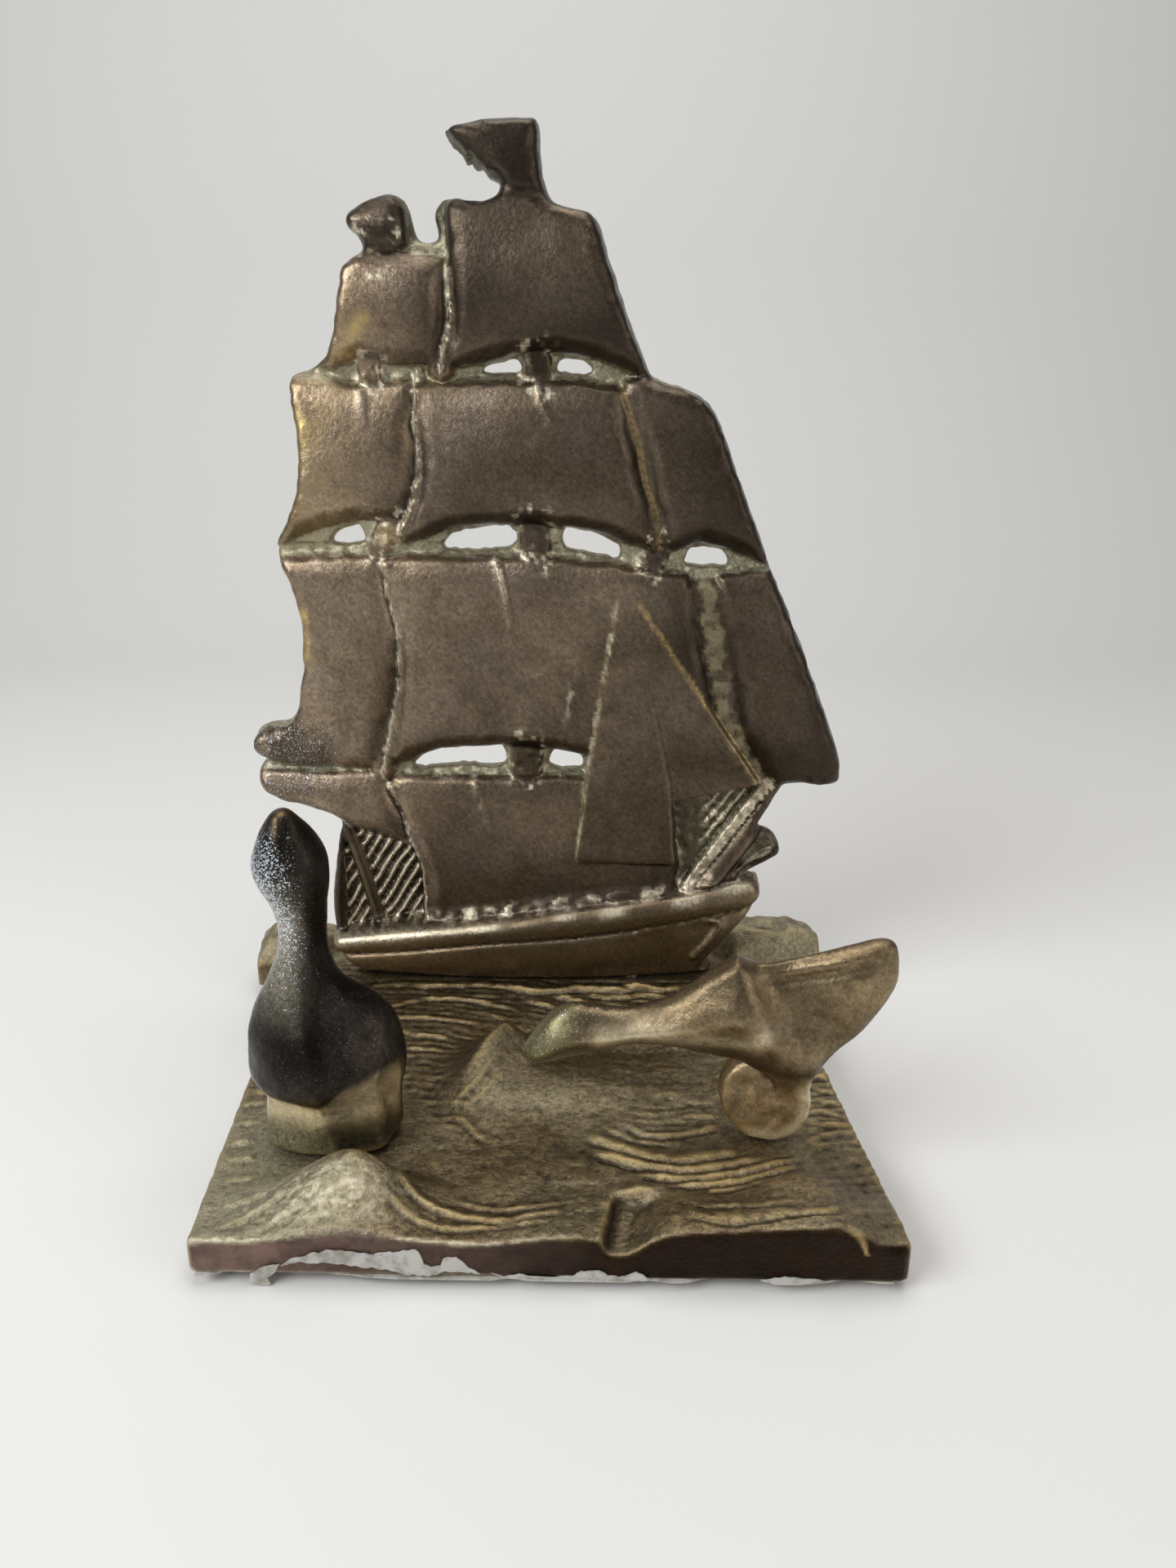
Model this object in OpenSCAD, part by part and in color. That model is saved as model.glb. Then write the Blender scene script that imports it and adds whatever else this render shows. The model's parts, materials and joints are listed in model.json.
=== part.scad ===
// Cast brass sailing ship on a wave-shaped base, with two gulls. Millimetres.
// The origin is the centre of the felt pad's underside. +Z is up and the viewer stands at -Y.

/* [Sea base] */
// Width of the base along its front edge
base_w = 105; // [95:1:120]
// Depth of the base from front edge to back edge
base_d = 95; // [90:1:110]
// How far the back edge lies to the left of the front edge
base_skew = 6.4; // [0:0.2:10]
// Metal left between the hollow underside and the calm sea
deck_t = 2.8; // [2:0.1:6]
// Width of the solid rim around the hollow underside
rim_w = 6; // [4:0.5:9]

/* [Waves] */
// Height of the crest in front of the left gull, above the calm sea
front_crest_h = 7.8; // [2:0.1:10]
// Height of the crest in the middle of the sea, above the calm sea
mid_crest_h = 8.2; // [2:0.1:10]
// Height of the swell along the right of the front edge, above the calm sea
right_swell_h = 3.6; // [1:0.1:6]
// Depth of the notch in the front edge
notch_h = 3; // [0.5:0.1:3.5]
// How far the rear bank stands out past the base on each side
bank_out = 8; // [2:0.5:12]
// Depth of the bank's two ends, measured from the back edge
bank_d = 11; // [9:0.5:14]
// Depth of the low bank behind the ship, measured from the back edge
bank_mid_d = 3.5; // [2:0.1:4]
// Height of the bank's left end above the table
bank_left_z = 14.5; // [12:0.5:20]
// Height of the bank's right end above the table
bank_right_z = 18; // [12:0.5:24]

/* [Hull] */
// Thickness of the hull from its front to its flat back
hull_d = 13; // [10:0.5:15]
// Gap between the flat back of the hull and the back edge of the base
hull_back_gap = 7; // [6.5:0.1:8]
// Radius of the hull's bowed front in plan
hull_bow_r = 140; // [120:5:300]
// Height of the rail moulding that runs along the top of the hull
rail_h = 5.5; // [3:0.1:8]
// How far the rail moulding stands proud of the hull
rail_proud = 0.9; // [0.3:0.1:1.5]

/* [Rig] */
// Height of the top flag above the foot of the hull
rig_h = 159; // [145:1:175]
// Thickness of the sails at their fullest point
sail_t = 6.5; // [6:0.1:8]
// Thickness of the flat ground between the sails
ground_t = 3; // [2:0.1:4]
// Radius of the sails' billow
billow_r = 60; // [55:1:120]
// Distance from the front of the hull to the flat back of the sails
rig_back = 10; // [9:0.1:10]
// Radius of the round spars at the bow
spar_r = 2; // [1.5:0.1:2.5]
// Radius of the stub of the lower yard at the left
stub_r = 3.6; // [2.5:0.1:4]

/* [Gulls] */
// Distance of the left gull's stud from the left edge of the base
left_gull_in = 18; // [18:0.5:24]
// Distance of the left gull's stud from the front edge of the base
left_gull_back = 26; // [25:0.5:32]
// Distance of the right gull's stud from the right edge of the base
right_gull_in = 17.3; // [14:0.5:20]
// Distance of the right gull's stud from the front edge of the base
right_gull_back = 28; // [25:0.5:32]
// Half width of the left gull's spread wings
wing_r = 11.4; // [9:0.1:11.4]
// Radius of the right gull's lower wing
disc_r = 7.5; // [6.5:0.1:9]
// Thickness of the right gull's lower wing
disc_t = 5; // [4.8:0.1:7]
// Thickness of the right gull's raised wing
raised_wing_t = 4; // [3:0.1:6]

/* [Fasteners] */
// Diameter of the screws that hold the ship
screw_d = 4; // [3:0.5:5]
// How far each screw reaches into the hull
screw_grip = 6.5; // [4:0.5:8]
// Distance between the two ship screws
screw_pitch = 38; // [24:1:46]
// Diameter of the studs that carry the gulls
stud_d = 3; // [2.5:0.5:3]
// How far each stud reaches into its gull
stud_grip = 6; // [3:0.5:7]
// Radial clearance of a gull's stud in the base
stud_clear = 0.05; // [0.02:0.01:0.1]
// Radial clearance of a thread in its tapped hole
thread_clear = 0.04; // [0.02:0.01:0.1]
// Radial clearance of the ship screws in the base
screw_clear = 0.25; // [0.15:0.05:0.4]
// Height of the screw heads and of the nuts
head_h = 2; // [1.6:0.1:3]
// Thickness of the washers
washer_t = 0.8; // [0.5:0.1:1.2]

/* [Underside] */
// Thickness of the felt pad
pad_t = 1.7; // [1:0.1:4]
// How far the pad's edge lies inside the base's edge
pad_inset = 3; // [2:0.5:8]
// Thickness of the torn lining film
film_t = 0.3; // [0.2:0.05:0.6]
// How far the film under the base lies inside the base's side and back edges
film_inset = 1; // [0.5:0.5:1.9]

/* [Hidden] */
$fn = 96;

brass = "#6b5a41";
dark_brass = "#3f352b";
steel = "#9a9a96";
felt = "#3a3430";
film_white = "#d8d8d4";

// Heights of the stack, from the table up
base_z = pad_t + film_t;
head_air = 0.4;
pocket_h = washer_t + head_h + head_air;
roof_z = base_z + pocket_h;
sea_z = roof_z + deck_t;
run_gap = 0.05;

// Depths, from the front edge back
front_y = -base_d / 2;
back_y = base_d / 2;
hull_back_y = back_y - hull_back_gap;
hull_front_y = hull_back_y - hull_d;
rig_back_y = hull_front_y + rig_back;
sail_y = rig_back_y - sail_t;
ground_y = rig_back_y - ground_t;
ground_in = 0.2;

// Stud axes, and the flat seat around each
left_axis = [-base_w / 2 + left_gull_in, front_y + left_gull_back];
right_axis = [base_w / 2 - right_gull_in, front_y + right_gull_back];
seat_blend = 3;
left_seat_r = wing_r + 0.9;
right_seat_r = disc_t + 1.5;

// Ship screws, on the middle line of the hull
ship_x = -5;
screw_y = (hull_front_y + hull_back_y) / 2;
screw_x = [ship_x - screw_pitch / 2, ship_x + screw_pitch / 2];
washer_r = screw_d + 0.6;
gull_washer_r = stud_d + 0.9;
hole_end = 0.6;

// Smooth step from 0 at a to 1 at b
function ramp(a, b, v) = let (t = min(max((v - a) / (b - a), 0), 1)) t * t * (3 - 2 * t);

// Sideways shift of the base at depth y
function side_shift(y) = -base_skew * (y - front_y) / base_d;

// Wave crest with its own spread to the left, right, front and back
function crest(x, y, at, spread) = let (dx = x - at[0], dy = y - at[1])
    exp(-pow(dx / spread[dx < 0 ? 0 : 1], 2) - pow(dy / spread[dy < 0 ? 2 : 3], 2));

front_crest_at = left_axis + [4.5, -left_seat_r - 2.4];
mid_crest_at = [-10.5, 0.5];
right_swell_at = [base_w / 2 - 12, front_y + 4];
notch_at = [11, front_y];
lip_at = [15, front_y + 9];

lip_h = 1.8;
ripple_h = 0.5;

function waves(x, y) = front_crest_h * crest(x, y, front_crest_at, [8, 7, 7, 2.6])
    + mid_crest_h * crest(x, y, mid_crest_at, [4, 6, 8, 5])
    + right_swell_h * crest(x, y, right_swell_at, [18, 9, 8, 9])
    - notch_h * crest(x, y, notch_at, [1.6, 2.2, 6, 6])
    + lip_h * crest(x, y, lip_at, [2, 6, 6, 5])
    + ripple_h * (sin(9 * y + 3 * x) - 0.8);

// Flat landings: 1 on a seat and 0 out on the waves
foot_x = [-38, 29];
function landing(x, y, axis, r) = 1 - ramp(r, r + seat_blend, norm([x, y] - axis));
function hull_landing(x, y) = (1 - ramp(3, 6, max(foot_x[0] - x, x - foot_x[1])))
    * (1 - ramp(2.8, 5.5, hull_front_y - y));
function calm(x, y) = max(landing(x, y, left_axis, left_seat_r),
    landing(x, y, right_axis, right_seat_r), hull_landing(x, y));

// Rear bank: low behind the ship and high at its two ends
function bank_end(x) = ramp(-47, -56, x) + ramp(30, 38, x);
function bank_z(x) = x < ship_x ? bank_left_z : bank_right_z;
bank_mid_h = 2.5;
function bank(x, y) = let (e = bank_end(x), start = back_y - bank_mid_d - e * (bank_d - bank_mid_d))
    (bank_mid_h + e * (bank_z(x) - sea_z - bank_mid_h)) * ramp(start, start + 2.4, y);

function open_sea(x, y) = (1 - calm(x, y)) * (1 - ramp(back_y - bank_d, back_y, y));
function sea(x, y) = sea_z + waves(x, y) * open_sea(x, y) + bank(x, y);

// Block with the waves as its top, wider and deeper than the base
cols = 46;
rows = 36;
field_margin = 4;
field = [base_w + base_skew + 2 * (bank_out + field_margin), base_d + 2 * field_margin];
field_low = -5;
through = 40;
function grid_x(i) = field[0] * (i / cols - 0.5) - base_skew / 2;
function grid_y(j) = field[1] * (j / rows - 0.5);
module wave_block() {
    w = cols + 1;
    top = [for (j = [0:rows]) for (i = [0:cols]) [grid_x(i), grid_y(j), sea(grid_x(i), grid_y(j))]];
    low = [for (j = [0, rows]) for (i = [0, cols]) [grid_x(i), grid_y(j), field_low]];
    f = len(top);
    cells = [for (j = [0:rows - 1]) for (i = [0:cols - 1]) let (a = j * w + i)
        each [[a, a + w, a + 1], [a + 1, a + w, a + w + 1]]];
    front = concat([f + 1, f], [for (i = [0:cols]) i]);
    back = concat([f + 2, f + 3], [for (i = [cols:-1:0]) rows * w + i]);
    left = concat([f, f + 2], [for (j = [rows:-1:0]) j * w]);
    right = concat([f + 3, f + 1], [for (j = [0:rows]) j * w + cols]);
    polyhedron(concat(top, low), concat(cells, [front, back, left, right, [f, f + 1, f + 3, f + 2]]));
}

// Outline of the base with the two ends of its rear bank
bank_y = back_y - bank_d;
function edge(side, y, out) = [side * (base_w / 2 + out) + side_shift(y), y];
corner_r = 3;
corner_at = edge(1, front_y, 0) + [-corner_r, corner_r];
base_outline = concat([edge(-1, front_y, 0)],
    [for (k = [0:6]) corner_at + corner_r * [sin(15 * k), -cos(15 * k)]],
    [edge(1, bank_y - 1, 0), edge(1, bank_y, bank_out - 1), edge(1, bank_y + 1, bank_out)],
    [edge(1, back_y, bank_out), edge(-1, back_y, bank_out)],
    [edge(-1, bank_y + 1, bank_out), edge(-1, bank_y, bank_out - 1), edge(-1, bank_y - 1, 0)]);

// Outline of the base moved in by the same distance on all four sides, without the bank's ends
function inset_outline(d, front_d) = [
    [-base_w / 2 + d + side_shift(front_y + front_d), front_y + front_d],
    [base_w / 2 - d + side_shift(front_y + front_d), front_y + front_d],
    [base_w / 2 - d + side_shift(back_y - d), back_y - d],
    [-base_w / 2 + d + side_shift(back_y - d), back_y - d]];

module sea_base() {
    color(brass) intersection() {
        wave_block();
        difference() {
            translate([0, 0, base_z]) linear_extrude(through) polygon(base_outline);
            translate([0, 0, base_z - 1]) linear_extrude(pocket_h + 1) polygon(inset_outline(rim_w, rim_w));
            for (x = screw_x) translate([x, screw_y, 0])
                cylinder(r = screw_d / 2 + screw_clear, h = through);
            for (a = [left_axis, right_axis]) translate([a[0], a[1], 0])
                cylinder(r = stud_d / 2 + stud_clear, h = through);
        }
    }
}

// Closed outline through corners in clockwise order, each edge bowed outward by its own amount
edge_steps = 6;
function bowed(corners, bows) = let (n = len(corners)) [for (i = [0:n - 1])
    let (a = corners[i], d = corners[(i + 1) % n] - a, out = [-d[1], d[0]] / norm(d))
    for (k = [0:edge_steps - 1]) let (t = k / edge_steps) a + d * t + out * bows[i] * 4 * t * (1 - t)];
function middle(corners) = [for (c = corners) 1 / len(corners)] * corners;

// Upright plate with the given outline in x and height, between two depths
module plate(outline, y0, y1) translate([0, y1, 0]) rotate([90, 0, 0])
    linear_extrude(y1 - y0) polygon(outline);

// The rig's outlines are drawn for one height, and stretched upward to the height that is set
drawn_rig_h = 159;
function raised(outline) = [for (p = outline) [p[0], p[1] * rig_h / drawn_rig_h]];

// Sail: a bowed plate whose front is part of a large ball
module sail(drawn, bows, proud) {
    corners = raised(drawn);
    m = middle(corners);
    intersection() {
        plate(bowed(corners, bows), sail_y - proud - 1, rig_back_y);
        translate([m[0], sail_y - proud + billow_r, m[1]]) sphere(r = billow_r);
    }
}

// Round-ended slot through the rig, from one end point to the other
function slot_outline(a, b, r) = let (d = b - a, turn = atan2(d[1], d[0]))
    [for (end = [0, 1]) for (k = [0:6]) let (t = turn + 90 + 180 * end + 30 * k)
        (end == 0 ? a : b) + r * [cos(t), sin(t)]];
module slot(ends, r) {
    e = raised(ends);
    plate(slot_outline(e[0], e[1], r), rig_back_y - through / 2, rig_back_y + through / 2);
}

// Round bar in the rig between two points in x and height
module bar(ends, r, y) {
    e = raised(ends);
    d = e[1] - e[0];
    translate([e[0][0], y, e[0][1]]) rotate([0, 90 - atan2(d[1], d[0]), 0]) cylinder(r = r, h = norm(d));
}

// Heights in the rig and hull outlines are above the foot of the hull.
// Each sail: corners from the top left clockwise, bows of its four edges, extra fullness
sails = [
    [[[-37.5, 136], [-18.5, 137], [-19.5, 118], [-43, 119.5]], [1.8, 0, 0, -0.8], 0],
    [[[-19.5, 146.5], [5.8, 144.5], [16.5, 117.5], [-21, 117.5]], [0.4, 0.4, 0, -0.8], 0.6],
    [[[-48.5, 118], [-24.5, 119], [-28.5, 88], [-53.5, 87.5]], [1, 1.5, 0, -3.5], 0],
    [[[-25.5, 119], [11.5, 118.5], [18.5, 87], [-29.5, 87]], [0.8, 0.5, 0, -2], 0.6],
    [[[10, 117.5], [27, 113.5], [38, 86], [17.5, 86]], [2, 0.6, 0, 0], 0],
    [[[-53.5, 88.5], [-31.5, 88.5], [-34.5, 43.5], [-55, 43.5]], [0, 3, 0, -4.8], 0],
    [[[-32.5, 88.5], [10.5, 88], [5, 44], [-35, 44]], [0.4, 0, 0, -2.7], 0.6],
    [[[24.5, 85.5], [38, 87], [55, 43], [41, 42]], [0, 1.4, 0.4, 1.5], 0.4],
    [[[10.5, 80], [15, 79], [23, 25], [2.5, 25.5]], [0, 1.2, 0, 0.6], 1.2],
    [[[15, 79], [17, 79], [39.5, 43], [22, 39]], [0, 0.6, 0, 0.8], 0.4],
    [[[-35, 46], [5.5, 46], [23, 15], [-28.5, 10]], [0, 0, 0, -1.5], 0],
    [[[-60.5, 43.5], [-34, 45.5], [-29.5, 28], [-57.5, 38]], [0.4, 1, 0, 0.8], 0],
    [[[-19, 157], [-3.4, 159], [-2, 148], [-9.5, 148]], [0.7, 0, 0, -0.6], -2],
    [[[-36, 143.5], [-26.5, 146.6], [-24.3, 139], [-34.5, 140.5]], [1, 0.6, 0, 0.6], -2]];

// Flat ground behind and between the sails, with the ratline panels; then the stems of the two flags
grounds = [
    [[-35, 140], [-24.2, 142], [-19, 140.4], [-18, 145], [5, 143], [15, 117], [26, 111], [37, 84], [53, 44],
        [41.5, 40.5], [27, 8], [-48.6, 8], [-45.2, 35], [-38, 38], [-38, 44], [-54, 44], [-47, 60], [-46, 75],
        [-52, 87], [-46, 100], [-45, 112], [-47, 117.5], [-41.5, 119.5], [-37.5, 130]],
    [[-10.3, 150], [-2.4, 150], [-1, 144], [-11, 144]],
    [[-33.5, 142], [-24.2, 142], [-22, 135], [-35, 135]]];

// Openings that pass between the sails: both ends and radius
slots = [
    [[[-12, 119.6], [-8.3, 119.8]], 1.4],
    [[[1.2, 119.6], [4, 119.2]], 1.5],
    [[[-41, 89.8], [-37.8, 90.2]], 1.8],
    [[[-18.8, 89.6], [-11, 90.2]], 2.2],
    [[[2.7, 89.8], [9.5, 87.7]], 1.9],
    [[[25.3, 86.9], [29.3, 86.5]], 1.9],
    [[[-25.8, 46.8], [-14.2, 47.6]], 2.2],
    [[[-0.8, 46.5], [2.5, 46.3]], 1.6]];

// Both ends of the two spars at the bow and of the lower yard's stub
bowsprit = [[25, 19], [42.6, 42.6]];
boom = [[26, 17.5], [43.6, 27.2]];
yard_stub = [[-61, 50.4], [-48, 50.4]];
boom_share = 0.8;

// Side outline of the hull: keel, raked stem, rising sheer and rounded stern
stern_top = [-47.7, 10.3];
bow_top = [39.8, 21.8];
keel_bow = [26, 0];
keel_stern = [-37, 0];
hull_side = [stern_top, bow_top, keel_bow, keel_stern];
hull_bows = [-1.3, 0.6, 0, 2.2];
rail_side = [stern_top, bow_top, bow_top - [3.8, rail_h], stern_top - [-0.6, rail_h]];
rail_bows = [-1.3, 0, 1.6, 0];

// Plate whose front is bowed in plan, with its fullest point at the given depth
hull_mid_x = -9;
module bowed_plate(outline, y0, r) intersection() {
    plate(outline, y0 - 1, hull_back_y);
    translate([hull_mid_x, y0 + r, -through / 2]) cylinder(r = r, h = 2 * through, $fn = 180);
}

module hull_body() {
    bowed_plate(bowed(hull_side, hull_bows), hull_front_y, hull_bow_r);
    bowed_plate(bowed(rail_side, rail_bows), hull_front_y - rail_proud, hull_bow_r);
}

module rig() {
    mid_y = (sail_y + rig_back_y) / 2;
    difference() {
        union() {
            for (s = sails) sail(s[0], s[1], s[2]);
            for (g = grounds) plate(raised(g), ground_y, rig_back_y - ground_in);
        }
        for (s = slots) slot(s[0], s[1]);
    }
    bar(bowsprit, spar_r, mid_y);
    bar(boom, spar_r * boom_share, mid_y);
    bar(yard_stub, stub_r, rig_back_y - stub_r);
}

module ship() {
    color(brass) translate([0, 0, sea_z]) difference() {
        union() {
            hull_body();
            rig();
        }
        for (x = screw_x) translate([x, screw_y, -1])
            cylinder(r = screw_d / 2 + thread_clear, h = screw_grip + hole_end + 1);
    }
}

// Curve through stations, with the given number of steps between each two
skin_steps = 3;
function blend4(p, q, r, s, t) = 0.5 * (2 * q + (r - p) * t + (2 * p - 5 * q + 4 * r - s) * t * t
    + (3 * q - p - 3 * r + s) * t * t * t);
function curve(st) = let (n = len(st)) concat([for (i = [0:n - 2]) for (k = [0:skin_steps - 1])
    blend4(st[max(i - 1, 0)], st[i], st[i + 1], st[min(i + 2, n - 1)], k / skin_steps)], [st[n - 1]]);

// Closed skin over ellipse rings, each [height, centre x, centre y, half width, half depth]
sides = 28;
module skin(stations) {
    st = curve(stations);
    n = len(st);
    points = [for (s = st) for (k = [0:sides - 1]) let (a = 360 * k / sides)
        [s[1] + s[3] * cos(a), s[2] + s[4] * sin(a), s[0]]];
    walls = [for (j = [0:n - 2]) for (k = [0:sides - 1])
        let (a = j * sides + k, b = j * sides + (k + 1) % sides)
        each [[a, a + sides, b + sides], [a, b + sides, b]]];
    caps = [[for (k = [0:sides - 1]) k], [for (k = [sides - 1:-1:0]) (n - 1) * sides + k]];
    polyhedron(points, concat(walls, caps));
}

// Left gull, beak up: rings above the seat, measured from the stud's axis
left_rings = [
    [0, 0.5, 0.3, wing_r - 2.6, 7],
    [2.5, 0, 0, wing_r - 0.6, 8.4],
    [11.5, -0.4, 0, wing_r, 8.6],
    [18, -1.4, 0.6, wing_r - 0.6, 7.6],
    [24, -2.6, 1.2, 8.6, 6.4],
    [29.5, -3.7, 1.6, 5.1, 5],
    [35, -4.1, 1.6, 3.9, 4.2],
    [40, -4.1, 1.4, 4.3, 4.4],
    [46, -4.6, 1, 5.6, 5.6],
    [50, -4.6, 0.8, 5.6, 5.4],
    [54.5, -5, 0.8, 2.9, 3],
    [57.4, -5.5, 0.8, 0.7, 0.7]];

module stud_hole() translate([0, 0, -1])
    cylinder(r = stud_d / 2 + thread_clear, h = stud_grip + hole_end + 1);

module left_gull() {
    color(dark_brass) translate([left_axis[0], left_axis[1], sea_z + run_gap]) difference() {
        skin(left_rings);
        stud_hole();
    }
}

// Right gull, flying to the left: rings along its body from the tail,
// each [distance along, height, depth, half height, half depth]
body_z = 20.8;
right_rings = [
    [0, -1, 0, 2.5, 1.6],
    [3.5, 0, 0, 6.5, 3.6],
    [8, 2, 0, 9, 4.8],
    [12.5, 2.5, 0, 8.9, 5],
    [17.5, 1.8, 0, 6.9, 4.6],
    [23, 0.7, 0, 4.5, 3.8],
    [29, 0, 0, 3.5, 3.3],
    [35, -0.7, 0, 4.4, 3.9],
    [40, -1, 0, 5.1, 4.5],
    [45, -3.4, 0, 2.9, 2.6],
    [47.2, -4.8, 0, 0.8, 0.8]];
tail_x = 7;
body_y = -2;
raised_wing = [[-6, 33.4], [17, 36.8], [9.5, 15.5], [-1, 14]];
raised_bows = [-0.8, 4.6, -0.6, 0];

module right_gull() {
    wing_y = body_y + 0.6;
    color(brass) translate([right_axis[0], right_axis[1], sea_z + run_gap]) difference() {
        union() {
            translate([tail_x, body_y, body_z]) rotate([0, -90, 0]) skin(right_rings);
            intersection() {
                plate(bowed(raised_wing, raised_bows), wing_y - raised_wing_t, wing_y + raised_wing_t);
                translate([6, wing_y - raised_wing_t / 2 + billow_r, 26]) sphere(r = billow_r);
                translate([6, wing_y + raised_wing_t / 2 - billow_r, 26]) sphere(r = billow_r);
            }
            translate([0, disc_t / 2, disc_r - 0.5]) rotate([90, 0, 0]) cylinder(r = disc_r, h = disc_t);
        }
        translate([-30, -30, -10]) cube([60, 60, 10]);
        stud_hole();
    }
}

module stud(axis) color(steel) translate([axis[0], axis[1], roof_z - washer_t - head_h - head_air / 2])
    cylinder(r = stud_d / 2, h = deck_t + washer_t + head_h + head_air / 2 + run_gap + stud_grip);
module left_gull_stud() stud(left_axis);
module right_gull_stud() stud(right_axis);

module ring(r_out, r_in, h) difference() {
    cylinder(r = r_out, h = h);
    translate([0, 0, -1]) cylinder(r = r_in, h = h + 2);
}

nut_r = stud_d + 0.2;
module gull_nut(axis) color(steel)
    translate([axis[0], axis[1], roof_z - washer_t - head_h - run_gap]) difference() {
        cylinder(r = nut_r, h = head_h, $fn = 6);
        translate([0, 0, -1]) cylinder(r = stud_d / 2 + thread_clear, h = head_h + 2);
    }
module left_gull_nut() gull_nut(left_axis);
module right_gull_nut() gull_nut(right_axis);

module gull_washer(axis) color(steel) translate([axis[0], axis[1], roof_z - washer_t])
    ring(gull_washer_r, stud_d / 2 + 2 * stud_clear, washer_t);
module left_gull_washer() gull_washer(left_axis);
module right_gull_washer() gull_washer(right_axis);

// Pan-head screw with a straight slot, driven up from the hollow underside
module ship_screw(x) color(steel) translate([x, screw_y, roof_z - washer_t - head_h]) difference() {
    union() {
        cylinder(r = screw_d * 0.9, h = head_h);
        cylinder(r = screw_d / 2, h = head_h + washer_t + deck_t + screw_grip);
    }
    translate([-screw_d, -0.5, -1]) cube([2 * screw_d, 1, 1 + head_h / 2]);
}
module left_ship_screw() ship_screw(screw_x[0]);
module right_ship_screw() ship_screw(screw_x[1]);

module ship_washer(x) color(steel) translate([x, screw_y, roof_z - washer_t])
    ring(washer_r, screw_d / 2 + screw_clear, washer_t);
module left_ship_washer() ship_washer(screw_x[0]);
module right_ship_washer() ship_washer(screw_x[1]);

module felt_pad() color(felt) linear_extrude(pad_t) polygon(inset_outline(pad_inset, pad_inset));

// Torn edge of the film where it is folded up against the front face: x, and height above the underside
flap = [[-38.5, 0], [-38, 1.3], [-34, 2.5], [-31.5, 4], [-18.5, 4.6], [-17.3, 2], [-13.5, 3.4], [-9, 2.5],
    [-7.5, 0.8], [4, 0.4], [11.5, 2.2], [15, 0.8], [32, 0.4], [35.5, 1], [42.5, 0.4], [47, 0]];
flap_tag = [[-43.5, 0], [-40, 0], [-41, -base_z * 0.75], [-43, -base_z * 0.85]];

module lining_film() color(film_white) {
    translate([0, 0, pad_t]) linear_extrude(film_t) polygon(inset_outline(film_inset, -film_t));
    edge_line = [for (p = flap) p - [0, p[1] == 0 ? film_t : 0]];
    translate([0, 0, base_z]) plate(edge_line, front_y - film_t, front_y);
    translate([0, 0, base_z]) plate(flap_tag, front_y - film_t, front_y);
}

sea_base();
ship();
left_gull();
right_gull();
left_gull_stud();
right_gull_stud();
left_gull_nut();
right_gull_nut();
left_gull_washer();
right_gull_washer();
left_ship_screw();
right_ship_screw();
left_ship_washer();
right_ship_washer();
felt_pad();
lining_film();
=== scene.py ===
"""Looks of a cast brass ornament: a ship on a sea of waves, with two gulls. Shapes are in millimetres."""
import json
import math

import bpy
import numpy as np
from mathutils import Matrix, Vector


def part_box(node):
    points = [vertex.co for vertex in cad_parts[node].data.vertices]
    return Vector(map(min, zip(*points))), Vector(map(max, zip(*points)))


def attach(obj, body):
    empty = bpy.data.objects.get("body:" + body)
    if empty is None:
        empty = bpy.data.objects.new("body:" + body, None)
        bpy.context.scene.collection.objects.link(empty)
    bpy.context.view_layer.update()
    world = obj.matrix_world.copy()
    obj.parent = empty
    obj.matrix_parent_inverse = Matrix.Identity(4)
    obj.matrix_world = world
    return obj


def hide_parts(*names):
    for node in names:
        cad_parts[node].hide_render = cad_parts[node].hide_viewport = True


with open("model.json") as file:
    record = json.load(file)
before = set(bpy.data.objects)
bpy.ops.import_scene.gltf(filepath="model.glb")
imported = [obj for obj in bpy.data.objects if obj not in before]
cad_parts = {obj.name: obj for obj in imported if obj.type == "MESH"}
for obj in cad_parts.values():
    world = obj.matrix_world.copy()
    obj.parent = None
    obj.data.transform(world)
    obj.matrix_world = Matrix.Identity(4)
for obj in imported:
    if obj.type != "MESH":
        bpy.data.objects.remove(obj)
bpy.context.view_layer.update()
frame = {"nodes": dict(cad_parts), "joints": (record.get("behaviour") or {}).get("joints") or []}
MM = 0.001


# Sizes and places taken from the frame

def node_box(node):
    low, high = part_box(node)
    return np.array(low) / MM, np.array(high) / MM


HULL_DEEP = 13
# From the hull's front to the flat back of the sails
RIG_DEEP = 10
SEAT_GAP = 0.05

base_low, base_high = node_box("sea_base")
ship_low, ship_high = node_box("ship")
pad_low, pad_high = node_box("felt_pad")
film_low = node_box("lining_film")[0]
axis_of = {j["child"]: np.array(j["pos_m"]) / MM for j in frame["joints"]}
left_axis = axis_of["left_bird"]
right_axis = axis_of["right_bird"]

front_y = base_low[1]
back_y = base_high[1]
base_z = base_low[2]
sea_z = ship_low[2]
hull_back_y = ship_high[1]
hull_front_y = hull_back_y - HULL_DEEP
rig_back_y = hull_front_y + RIG_DEEP
seat_z = sea_z + SEAT_GAP


# Curves, distances and noise

FAR = 1e9
TINY = 1e-9


def along(points, steps=5, closed=False):
    """Smooth curve through the points."""
    p = np.array(points, float)
    n = len(p)
    t = np.arange(steps)[:, None] / steps
    spans = []
    for i in range(n if closed else n - 1):
        at = [(i + k) % n if closed else min(max(i + k, 0), n - 1) for k in (-1, 0, 1, 2)]
        a, b, c, d = p[at]
        bend = 2 * a - 5 * b + 4 * c - d
        twist = 3 * b - a - 3 * c + d
        spans.append(0.5 * (2 * b + (c - a) * t + bend * t ** 2 + twist * t ** 3))
    if not closed:
        spans.append(p[-1:])
    return np.vstack(spans)


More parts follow.
